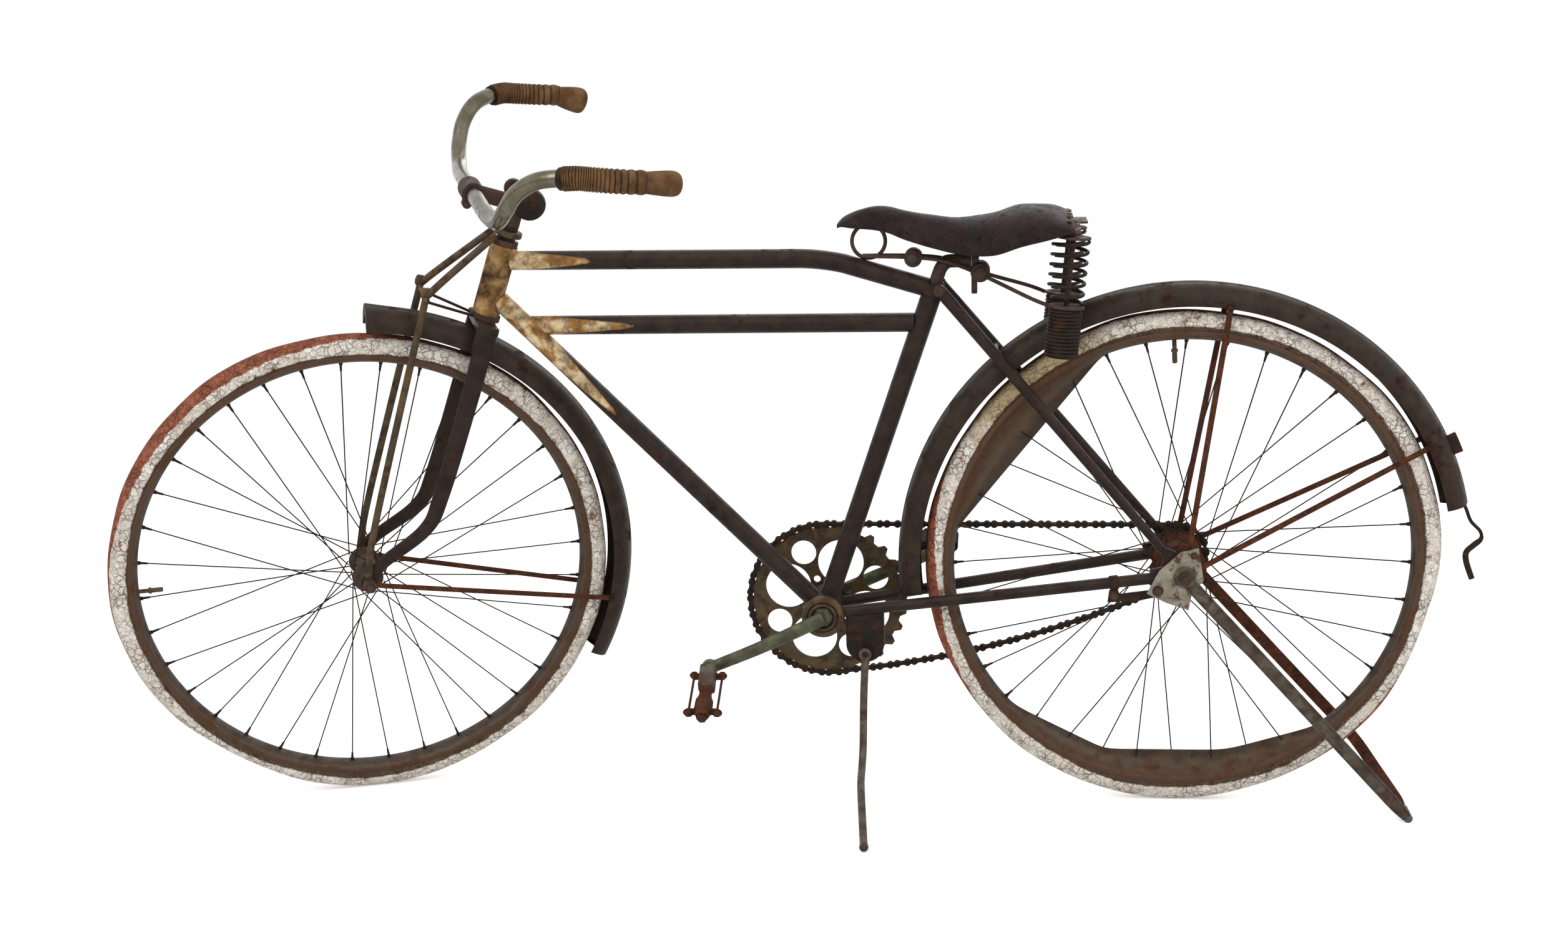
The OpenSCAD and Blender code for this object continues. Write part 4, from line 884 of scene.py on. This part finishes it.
def fender_outline():
    """(radius, y) round the section: outer half circle with a crest, a rolled edge, and back 1.5
    inside it."""
    t = np.linspace(-np.pi / 2, np.pi / 2, 36)
    outer_r = FENDER_HALF + 1.5 * np.exp(-((FENDER_HALF * t / 2.4) ** 2))
    outer, inner = (np.stack([FENDER_R - FENDER_HALF + r * np.cos(t), r * np.sin(t)], -1)
                    for r in (outer_r, outer_r - 1.5))
    roll = np.linspace(0, np.pi, 9)[1:-1]
    low = FENDER_R - FENDER_HALF - FENDER_SKIRT
    edge = np.stack([low + 0.4 - 1.8 * np.sin(roll), FENDER_HALF - 0.9 + 0.9 * np.cos(roll)], -1)
    other = edge[::-1] * (1, -1)
    return np.concatenate([outer, edge, inner[::-1], other])


def fender(hub, first, last, flare=0.0):
    """The outline at each angle from first to last. Over the last 7 degrees a flare widens it."""
    outline = fender_outline()
    a = np.radians(np.linspace(first, last, 150))[:, None]
    wide = flare * np.clip((np.degrees(a) - last + 7) / 7, 0, 1) ** 2
    radius = outline[None, :, 0] + wide * (outline[None, :, 0] - FENDER_R + 20)
    side = outline[None, :, 1] * (1 + wide)
    return grid_shape(around(hub, a + 0 * radius, radius, side))


stand_for("rear_fender", fender(REAR_HUB, 12.5, 186.5), sharp=60)
boss = bar(on_axis(CROWN_S - 7.5), on_axis(CROWN_S - 0.3), 6)
stand_for("front_fender", joined(fender(FRONT_HUB, -29, 84, 0.16), boss), turned, sharp=60)

# %% [markdown]
# ## Handlebar, grips and stem
# The bar is one bent tube, nickel plated and now stained. Each grip is moulded rubber with close
# ribs and a round bulb at its end. The bulb of the right one has torn and hangs down. A rib is
# only a small wave of the radius along the grip, so the grips are tubes with a radius formula.

# %% Bar and grips
BAR_CLAMP = on_axis(COLUMN_TOP_S + 32, -62)
HALF_BAR = np.array([[0, 60, 0], [2, 130, -3], [7, 180, 0], [13, 214, 20], [26, 240, 48], [50, 268, 68],
                     [87, 295, 74], [112, 298.5, 71]])
GRIP_LINE = np.array([[78, 288.4, 72.6], [95, 296, 73.4], [112, 298.5, 71], [150, 302, 66], [222, 306, 58]])
RIBS = 22
BULB_T = 0.84

half = HALF_BAR * (1, -1, 1)
bar_line = smooth(BAR_CLAMP + np.concatenate([half[::-1], [[0, 0, 0]], HALF_BAR]), 14)
stand_for("handlebar", tube(bar_line, 10.8, 32, side=(0.2, 0, 1)), turned)


def grip(side, torn):
    """Radius 13.3 + 2 |sin| ribs up to a neck, then a smooth round bulb. A torn grip's bulb is
    wider and hangs down. The groove value is 1 between ribs."""
    path = smooth(BAR_CLAMP + GRIP_LINE * (1, side, 1), 60)
    t = np.linspace(0, 1, len(path))
    wave = np.abs(np.sin(np.pi * RIBS * t / BULB_T)) ** 0.6
    bulb = np.clip((t - BULB_T) / (1 - BULB_T), 0, 1)
    swell = 13.4 + (2.5 + 1.6 * torn) * np.sin(np.pi * np.clip(bulb * 1.6, 0, 1) / 2)
    radius = np.where(t < BULB_T, 13.3 + 2.0 * wave, swell)
    radius = radius * np.sqrt(1.001 - np.clip((bulb - 0.55) / 0.45, 0, 1) ** 2.5)
    hang = torn * bulb**0.7
    path = path - np.stack([2 * hang, 0 * t, 9 * hang], -1)
    shape = tube(path, radius, 40, side=(0, 0, 1), flat=radius * (1 + 0.12 * hang))
    groove = np.repeat(np.where(t < BULB_T, 1 - wave, 0), 40)
    return shape, np.concatenate([groove, np.zeros(len(shape[0]) - len(groove))])


made_grips = [grip(-1, 0), grip(1, 1)]
stand_for("grips", joined(*[g[0] for g in made_grips]), turned, sharp=60,
          values={"groove": np.concatenate([g[1] for g in made_grips])})
collar_line = line(GRIP_LINE[0] - (2.6, 2.3, 0.3), GRIP_LINE[0] + (2.6, 2.3, 0.3), 3)
bands = [tube(BAR_CLAMP + collar_line * (1, s, 1), 14.2, 32, side=(0, 0, 1)) for s in (-1, 1)]
beside("grip_collars", "grips", joined(*bands), turned, "dark_steel")


def hex_bolt(centre, direction, across=6.5, height=5.0, shank=3.0):
    """A six-sided head with a chamfered top on a round washer."""
    centre, d = np.asarray(centre, float), unit(np.asarray(direction, float))
    side = (0, 0, 1) if abs(d[2]) < 0.9 else (1, 0, 0)
    wide = across * 1.25
    return joined(tube([centre + d, centre + d * (height - 0.8), centre + d * height],
                       [across, across, across * 0.86], 6, side),
                  tube([centre - d * shank, centre + d, centre + d * 1.01], [wide, wide, 0.5], 24, side))


stem_top = on_axis(COLUMN_TOP_S + 42)
shapes = [hex_bolt(stem_top, STEER_DIR, 7, 7, 1), hex_bolt(BAR_CLAMP + (-9, -8, -15), (0, -1, 0), 5, 5, 12),
          slab(BAR_CLAMP + (-8, -9, -13), BAR_CLAMP + (-8, 9, -13), 5, 7, (0, 0, 1))]
beside("stem_bolts", "stem", joined(*shapes), turned, "rusty_steel")

# %% [markdown]
# ## Saddle
# A saddle of this age is a thick hide stretched over a steel plate behind and a ring spring in
# front. Its rear rests on two coil springs, open above and close-wound below, and round wires tie
# them to the clamps. The hide has dried, so it sags in the middle. It is one skin between two
# surfaces: along the saddle and across it.

# %% Hide
STATIONS = np.array([[115, 832, 9, 5], [122, 839, 16, 10], [133, 845, 21.5, 17], [147, 850, 25, 23],
                     [166, 853.5, 28, 28], [186, 852, 30, 31], [208, 847, 32, 35], [245, 841, 38, 40],
                     [285, 837, 50, 44], [325, 842, 68, 48], [360, 852, 82, 46], [395, 852, 89, 37],
                     [419, 844, 86, 23], [429, 837, 78, 15]])
HIDE_T = 4.5
stations = smooth(STATIONS, 9)
t = np.linspace(-np.pi / 2, np.pi / 2, 57)
x, crown, half_w, drop = (stations[:, k:k + 1] for k in range(4))
ripple = 0.8 * np.sin(x / 9.0) * np.sin(3 * t) + 0.6 * np.sin(x / 23.0 + 2 * t)
over = np.stack([x + 0 * t, half_w * np.sin(t), crown - 0.9 - drop * (1 - np.cos(t)) + ripple * np.cos(t)], -1)
under = np.stack([x + 0 * t, (half_w - HIDE_T) * np.sin(t),
                  crown - HIDE_T - (drop - HIDE_T * 0.6) * (1 - np.cos(t))], -1)
hide = grid_shape(np.concatenate([over, under[:, ::-1]], 1))
stand_for("saddle_leather", hide, sharp=60)
rivet_y = np.linspace(-62, 62, 7)
rivet_spots = np.stack([423 + 0 * rivet_y, rivet_y, 841.8 - 20 * (1 - np.sqrt(1 - (rivet_y / 86) ** 2))], -1)
dome = np.linspace(0, np.pi / 2, 6)
rivet = tube(np.stack([0 * dome, 0 * dome, 2.2 * np.sin(dome)], -1), 5 * np.cos(dome) + 0.02, 16, side=(1, 0, 0))
flat_turns = np.repeat(np.eye(3)[None], len(rivet_spots), 0)
beside("saddle_rivets", "saddle_leather", placed(rivet, rivet_spots - (0, 0, 1.2), flat_turns), slot="brass_rust")

# %% Saddle ironwork
POST_CORNER = on_seat(778)
POST_END = POST_CORNER + (38, 0, 0)
SPRING_Y = 60
SPRING_LOW = np.array([413, 0, 656])
SPRING_HIGH = np.array([428, 0, 812])
SPRING_DIR = unit(SPRING_HIGH - SPRING_LOW)
SPRING_MID = SPRING_LOW + 66 * SPRING_DIR
NOSE_RING = np.array([157, 0, 806.5])
FRONT_CLAMP = np.array([217, 0, 784])
REAR_CLAMP = POST_END + (12, 0, -14)

post = smooth([SEAT_TOP, POST_CORNER - SEAT_DIR * 12, POST_CORNER - SEAT_DIR * 4 + (3, 0, 0), POST_CORNER + (8, 0, 0),
               POST_END], 10)
stand_for("seat_post", tube(post, 9, 32))
turn = np.linspace(0, 2 * np.pi, 73)[:, None]
ring_line = NOSE_RING + 22.5 * (np.cos(turn) * (1, 0, 0) + np.sin(turn) * (0, 0, 1))
plate_y = np.linspace(-75, 75, 41)
plate_z = 830.3 - 12.1 * (1 - np.sqrt(1 - (plate_y / 76.5) ** 2))
plate_path = np.stack([428 + 0 * plate_y, plate_y, plate_z - 1.5], -1)
shapes = [tube(ring_line, 2.6, 14), carried(plate_path, [(-1.4, -10), (1.4, -10), (1.4, 9), (-1.4, 9)], (1, 0, 0)),
          slab(NOSE_RING + (-12, 0, 29.5), NOSE_RING + (16, 0, 29.5), 6, 10, (0, 1, 0), 2),
          slab((439, -30, 829), (439, 30, 829), 1.4, 9, (1, 0, 0), 4),
          bar(FRONT_CLAMP + (0, -14, 0), FRONT_CLAMP + (0, 14, 0), 12, 32, 1.5),
          bar(REAR_CLAMP + (0, -18, 0), REAR_CLAMP + (0, 18, 0), 13, 32, 1.5),
          slab(POST_END + (0.3, 0, -4.5), POST_END + (10.3, 0, -4.5), 13, 12, (0, 1, 0), 2),
          bar(REAR_CLAMP - (8, 0, 2), REAR_CLAMP - (8, 0, 30), 4)]
shapes += [hex_bolt(clamp + (0, s * half, 0), (0, s, 0), size, size - 2, 0)
           for clamp, half, size in ((REAR_CLAMP, 18, 8), (FRONT_CLAMP, 14, 7)) for s in (-1, 1)]
for s in (-1, 1):
    wire = smooth([NOSE_RING + (-9, s * 4, -19.5), FRONT_CLAMP + (0, s * 10, 1), FRONT_CLAMP + (45, s * 14, -5),
                   REAR_CLAMP + (3, s * 14, -4), SPRING_MID + (-48, s * 57, 14),
                   SPRING_MID + (-23.9, s * 60, 4.2)], 12)
    middle, high = (q + (0, s * SPRING_Y, 0) for q in (SPRING_MID, SPRING_HIGH))
    shapes += [tube(wire, 2.6, 14, side=(0, 0.3, 1)),
               bar(middle + 0.3 * SPRING_DIR, middle + 3.5 * SPRING_DIR, 24.5, 40),
               bar(high + 0.3 * SPRING_DIR, high + 3.5 * SPRING_DIR, 23, 40),
               bar(middle, high + 8 * SPRING_DIR, 3.5)]
stand_for("saddle_frame", joined(*shapes), sharp=45)

# %% Coil springs
SPRING_BACK = np.array([SPRING_DIR[2], 0, -SPRING_DIR[0]])
WIRE_R = 2.4
COIL_R = 20.6
TURN_STEPS = 26


def coil(start, end, turns, radius):
    """A point goes round the axis turns times while it moves from start to end."""
    f = np.linspace(0, 1, int(turns * TURN_STEPS) + 1)[:, None]
    a = 2 * np.pi * turns * f
    line_of = start + (end - start) * f + radius * (np.cos(a) * SPRING_BACK + np.sin(a) * (0, 1, 0))
    return tube(line_of, WIRE_R, 10, side=SPRING_DIR)


shapes = []
for s in (-1, 1):
    low, middle, high = (q + (0, s * SPRING_Y, 0) for q in (SPRING_LOW, SPRING_MID, SPRING_HIGH))
    shapes += [coil(middle + 6.2 * SPRING_DIR, high - WIRE_R * SPRING_DIR, 6, COIL_R),
               coil(low + WIRE_R * SPRING_DIR, middle - WIRE_R * SPRING_DIR, 12.8, COIL_R),
               bar(low + SPRING_DIR, middle - SPRING_DIR, 20, 32)]
stand_for("saddle_springs", joined(*shapes), sharp=60)

# %% [markdown]
# ## Chain
# This is a block chain: solid blocks sit in every second gap, and pairs of side plates join them.
# The chainring therefore has only every second tooth. The loop is laid out along its own length
# first, and then one block and one pair of plates are copied along it.

# %% Block chain
CHAIN_Y = 47.5
PITCH = 25.4
SLACK = 4 * 22
RING_R = PITCH / (2 * math.sin(math.pi / 28))
COG_R = PITCH / (2 * math.sin(math.pi / 10))
run = REAR_HUB - BB
RUN_LEAN = math.acos((RING_R - COG_R) / np.linalg.norm(run))
RUN_A = math.atan2(run[2], run[0])
TOP_A, LOW_A = RUN_A + RUN_LEAN, RUN_A - RUN_LEAN


def on_circle(centre, radius, angle):
    """(x, z) on a circle about a centre."""
    angle = np.asarray(angle, float)
    return np.stack([centre[0] + radius * np.cos(angle), centre[2] + radius * np.sin(angle)], -1)


# Round the ring, along the tight upper run, round the cog, and back along the lower run, which
# hangs down in a parabola.
f = np.linspace(0, 1, 200, endpoint=False)[:, None]
around_ring = on_circle(BB, RING_R, LOW_A - (2 * np.pi - 2 * RUN_LEAN) * f[:, 0])
up_run = on_circle(BB, RING_R, TOP_A) + (on_circle(REAR_HUB, COG_R, TOP_A) - on_circle(BB, RING_R, TOP_A)) * f
around_cog = on_circle(REAR_HUB, COG_R, TOP_A - 2 * RUN_LEAN * f[:, 0])
down_run = on_circle(REAR_HUB, COG_R, LOW_A) + (on_circle(BB, RING_R, LOW_A) - on_circle(REAR_HUB, COG_R, LOW_A)) * f
down_run = down_run - SLACK * (f * (1 - f)) * (0, 1)
loop = np.concatenate([around_ring, up_run, around_cog, down_run])
closed = np.concatenate([loop, loop[:1]])
length = np.concatenate([[0], np.cumsum(np.linalg.norm(np.diff(closed, axis=0), axis=1))])
links = int(round(length[-1] / PITCH))
step = length[-1] / links


def on_loop(s):
    """The point a length s along the chain's loop."""
    s = np.asarray(s) % length[-1]
    x, z = np.interp(s, length, closed[:, 0]), np.interp(s, length, closed[:, 1])
    return np.stack([x, np.full_like(x, CHAIN_Y), z], -1)


def chain_parts(shape, first, last):
    """Copies of a shape laid with its X from each first point to the matching last point."""
    a, b = on_loop(first), on_loop(last)
    along = unit(b - a)
    turns = np.stack([along, np.broadcast_to((0, 1, 0), along.shape), np.cross(along, (0, 1, 0))], 1)
    return placed(shape, (a + b) / 2, turns)


def waisted(half_len, end_r, waist, t, y):
    """A flat link t thick: two round ends of radius end_r, joined by a straight waist."""
    reach = half_len + end_r
    px = reach * np.sin(np.linspace(-np.pi / 2, np.pi / 2, 15))
    off = np.clip(np.abs(px) - half_len, -end_r, end_r)
    pz = np.maximum(np.sqrt(end_r**2 - off**2), np.where(np.abs(px) < half_len, waist, 0.0))
    px, pz = np.concatenate([px, px[-2:0:-1]]), np.concatenate([pz, -pz[-2:0:-1]])
    rows = [np.stack([px * k, 0 * px + h, pz * k], -1)
            for k, h in ((0.93, y), (1, y + 0.3), (1, y + t - 0.3), (0.93, y + t))]
    return grid_shape(np.array(rows))


middles = (np.arange(links) + 0.5) * step
block = waisted(5, 4.2, 3.2, 4.4, -2.2)
plates = joined(waisted(7.7, 5.0, 2.4, 1.6, 2.4), waisted(7.7, 5.0, 2.4, 1.6, -4.0))
pin = tube([(0, -4.6, 0), (0, -4.2, 0), (0, 4.2, 0), (0, 4.6, 0)], [1.5, 2.1, 2.1, 1.5], 10, side=(1, 0, 0))
pins = np.concatenate([middles - 5, middles + 5])
chain = joined(chain_parts(block, middles - 5, middles + 5), chain_parts(plates, middles + 5, middles + step - 5),
               chain_parts(pin, pins - 1, pins + 1))
stand_for("chain", chain)

# %% [markdown]
# ## Cranks and pedals
# The left and right arms are one forged bar, bent through the bottom bracket. The left pedal has
# lost its rubbers: only its barrel, end plates and bolts are left, and its pin is bent down. The
# right pedal keeps its grooved rubber blocks.

# %% One-piece crank
CRANK_A = math.radians(202.8)
CRANK_LEN = 174
LEFT_Y, RIGHT_Y = -66, 68


def crank_end(s):
    """The pedal hole of the left arm where s is -1, and of the right arm where it is 1."""
    return BB - s * CRANK_LEN * heading(CRANK_A)


shapes = [bar(BB + (0, -43, 0), BB + (0, 55, 0), 11, 32), ring(BB, 8, 19.9, -35, -29), ring(BB, 8, 19.9, 29, 35),
          bar(BB + (0, -41, 0), BB + (0, -35, 0), 15.5, 6, 1.5)]
for s, root, end in ((-1, -44, LEFT_Y), (1, 56, RIGHT_Y)):
    elbow = root + s * 4
    line_of = ((0, root), (12, elbow), (45, (elbow + end) / 2), (100, end), (CRANK_LEN - 8, end))
    arm = smooth([BB - s * reach * heading(CRANK_A) + (0, y, 0) for reach, y in line_of], 10)
    shapes += [tube(arm, steps_of(arm, 10.8, 8.6), flat=steps_of(arm, 7, 5.6)),
               ring(crank_end(s), 6.1, 12, end - 7, end + 7, 1.2)]
stand_for("crank", joined(*shapes), sharp=40)
boss = [hex_bolt(BB + 22 * heading(a) + (0, CHAIN_Y - 1.5, 0), (0, -1, 0), 4, 4, 0)
        for a in np.radians(25 + 90 * np.arange(4))]
boss.insert(0, ring(BB, 11.2, 19, CHAIN_Y - 5, CHAIN_Y + 1.4))
cup = joined(ring(BB, 20.8, 30, -41.5, -30, 2.5), ring(BB, 16.2, 20.4, -42.5, -36, 1))
beside("bracket_ring", "bottom_bracket", cup, slot="brass_rust")
beside("chainring_boss", "chainring", joined(*boss), slot="dark_steel")

# %% Pedals
PEDAL_LEN = 92
BARREL_AT = [8, 9, 14, 42, 45, 50, 60, 68, 84, 92, 98]
BARE_BARREL = [9, 11.4, 12, 12, 10.5, 8.6, 9.6, 12.6, 13, 11, 8.4]
BLOCK_BARREL = [8, 9.4, 9.8, 8, 7, 6.6, 6.6, 7, 9.8, 9.8, 8.4]


def pedal(s, blocks, droop=0.0):
    """Barrel and cone along the pin, an end plate at each side, and bolts or rubber blocks. A
    droop is the angle by which a bent pin points down at its outer end."""
    p = crank_end(s) + (0, LEFT_Y if s < 0 else RIGHT_Y, 0)
    out = np.array([0, s * math.cos(droop), -math.sin(droop)])
    up = np.array([0, s * math.sin(droop), math.cos(droop)])

    def at(a, x=0.0):
        return p + a * out + (x, 0, 0)

    shapes = [bar(at(-7), at(10), 6, 24),
              tube([at(a) for a in BARREL_AT], BLOCK_BARREL if blocks else BARE_BARREL, side=up),
              bar(at(97), at(105), 7.5, 6, 3)]
    shapes += [slab(at(a, -24), at(a, 24), 6 + 3 * blocks, 1.5, out, 4) for a in (17.5, PEDAL_LEN - 4.5)]
    for x in (-20, 20):
        shapes += [bar(at(11, x), at(PEDAL_LEN + 3, x), 3 if blocks else 1.8, 16),
                   hex_bolt(at(PEDAL_LEN - 3, x), out, 6, 4.6, 0), hex_bolt(at(16, x), -out, 5.4, 4.6, 0)]
    if not blocks:
        return joined(*shapes), None
    grooves = np.linspace(20.5, 84, 90)
    rubbers = [tube([at(a, x) for a in grooves], 8.4 - 0.9 * (np.sin(grooves * 1.1) > 0.55), 24, side=(0, 0, 1))
               for x in (-20, 20)]
    return joined(*shapes), joined(*rubbers)


DROOP = math.radians(24)
barrel, _ = pedal(-1, False, DROOP)
sleeve_dir = np.array([0, -math.cos(DROOP), -math.sin(DROOP)])
sleeve_start = crank_end(-1) + (0, LEFT_Y, 7) + 9 * sleeve_dir
sleeve = slab(sleeve_start, sleeve_start + 36 * sleeve_dir - (0, 0, 6), 11.5, 12.5, (0, 0, 1), 5)
beside("left_pedal_sleeve", "left_pedal", sleeve, slot="stand_steel")
stand_for("left_pedal", barrel)
cage, rubber = pedal(1, True)
stand_for("right_pedal", cage)
beside("right_pedal_rubbers", "right_pedal", rubber, slot="pedal_rubber", sharp=20)

# %% [markdown]
# ## Stands, hook and bolts
# The side stand is a bent rod with a flattened foot. The rear stand is a pair of channels, like
# pressed shelving, that swing on the axle, joined by a foot bar. A wire hook hangs from the
# fender's tip. Small bolts hold the fender stays.

# %% Side stand
PIVOT = BB + (59, -40, -55)
PIVOT_AXIS = unit(np.array([0.081, -0.955, 0.285]))
foot_x = PIVOT[0] + 8
foot_z = (6.5 - bike((foot_x, -250, 0))[2] * 1000) / upward[2]
px = PIVOT[0]
leg = smooth([PIVOT + (0.5, -2, -5), (px - 1.5, -46, 189), (px - 3, -48, 150), (px - 4, -48.5, 111),
              (px - 4.5, -55, 89), (px - 5, -74, 72), (px - 3, -130, foot_z + 34), (foot_x, -250, foot_z)], 12)
ball = np.linspace(0.02, np.pi - 0.02, 12)[:, None]
foot = np.array([foot_x, -250, foot_z])
shapes = [tube(leg, 5.4, 20, side=(1, 0, 0)), bar(PIVOT - PIVOT_AXIS * 4, PIVOT + PIVOT_AXIS * 6, 9, 32),
          tube(foot - 6.3 * np.cos(ball) * (1, 0, 0), 6.3 * np.sin(ball[:, 0]), 20, side=(0, 0, 1))]
stand_for("side_stand", joined(*shapes))

# %% Rear stand and hook
STAND_LEN = 462
STAND_Y = 73.5
stand_drop = bike(REAR_HUB + (0, -100, 0))[2] * 1000 - 6
reach_x, reach_z = STAND_LEN * backward[2], STAND_LEN * upward[2]
STAND_A = math.asin(stand_drop / math.hypot(reach_x, reach_z)) + math.atan2(reach_x, reach_z)


def on_stand(r, y, q=0.0):
    """A point r along the rear stand's legs from the axle, and q above their line."""
    c, s = math.cos(STAND_A), math.sin(STAND_A)
    return REAR_HUB + (r * c + q * s, y, -r * s + q * c)


def channel(path, outward, half_w):
    """A shallow channel: a web with two lips that face outward. Its width narrows at the ends."""
    path = np.asarray(path, float)
    section = np.array([(-1, 1.7), (-0.84, 1.7), (-0.8, -0.6), (0.8, -0.6), (0.84, 1.7), (1, 1.7), (1, -1.7),
                        (-1, -1.7)])
    wide = np.interp(np.linspace(0, 1, len(path)), [0, 0.03, 0.95, 1], [0.85, 1, 1, 0.7])
    sections = section[None] * np.stack([half_w * wide, np.full_like(wide, outward)], -1)[:, None]
    return carried(path, sections)


near_leg = smooth([on_stand(6, -STAND_Y), on_stand(40, -STAND_Y, -1), on_stand(STAND_LEN - 4, -100)], 24)
far_leg = smooth([on_stand(6, STAND_Y), on_stand(40, STAND_Y, 1.5), on_stand(300, STAND_Y, 1.5),
                  on_stand(388, STAND_Y, 1), on_stand(428, 10), on_stand(STAND_LEN - 4, -62)], 14)
shapes = [channel(near_leg, -1, 9), bar(on_stand(STAND_LEN, -100), on_stand(STAND_LEN, -62), 6, 24, 1.5)]
shapes += [ring(REAR_HUB, 5.1, 15, s * STAND_Y - 1.7, s * STAND_Y + 1.7) for s in (-1, 1)]
stand_for("rear_stand", joined(*shapes), sharp=30)
beside("rear_stand_far_leg", "rear_stand", channel(far_leg, 1, 8), slot="red_rust", sharp=30)

HOOK_LINE = [(373.9, 96.7), (376.6, 85.6), (382, 74), (389, 58), (402, 44), (404, 33), (395, 24), (386, 14), (387, 0),
             (396, -24)]
hook_path = smooth([REAR_HUB + (x, 0, z) for x, z in HOOK_LINE], 8)
thick = np.interp(np.linspace(0, 1, len(hook_path)), [0, 0.5, 0.62, 1], [2.4, 2.4, 4.4, 4])
stand_for("hook", tube(hook_path, thick, 14, flat=np.full_like(thick, 2.2)), sharp=50)

# %% Bolts of the stays and of the brake arm
def stay_bolts(hub, angles):
    """A bolt through each side of a fender at each angle, just above its edge."""
    radius = FENDER_R - FENDER_HALF - FENDER_SKIRT + 1
    return joined(*[hex_bolt(hub + radius * heading(a) + (0, s * 28.5, 0), (0, s, 0), 4, 3, 0.5)
                    for a in np.radians(angles) for s in (-1, 1)])


beside("rear_stay_bolts", "rear_fender_stays", stay_bolts(REAR_HUB, [81.5, 27.5]), slot="dark_steel")
beside("front_stay_bolts", "front_fender_stays", stay_bolts(FRONT_HUB, [-14]), turned, "dark_steel")
beside("arm_bolt", "brake_arm", hex_bolt(REAR_HUB + (-93, -61, -31), (0, -1, 0), 5, 4, 0.5), slot="rusty_steel")
plate_bolts = [hex_bolt(REAR_HUB + (x, -71.5, z), (0, -1, 0), r, h, 0.2)
               for x, z, r, h in ((-35, -20, 6, 6), (12, 30, 4, 3))]
beside("plate_bolts", "axle_plate", joined(*plate_bolts), slot="rusty_steel")
STAY_TOP = on_seat(743) + (8, 0, 0)
cluster = [hex_bolt(STAY_TOP + (0, s * 35, 0), (0, s, 0), 6.5, 6, 1) for s in (-1, 1)]
beside("cluster_bolt", "seat_lug", joined(*cluster), slot="rusty_steel")
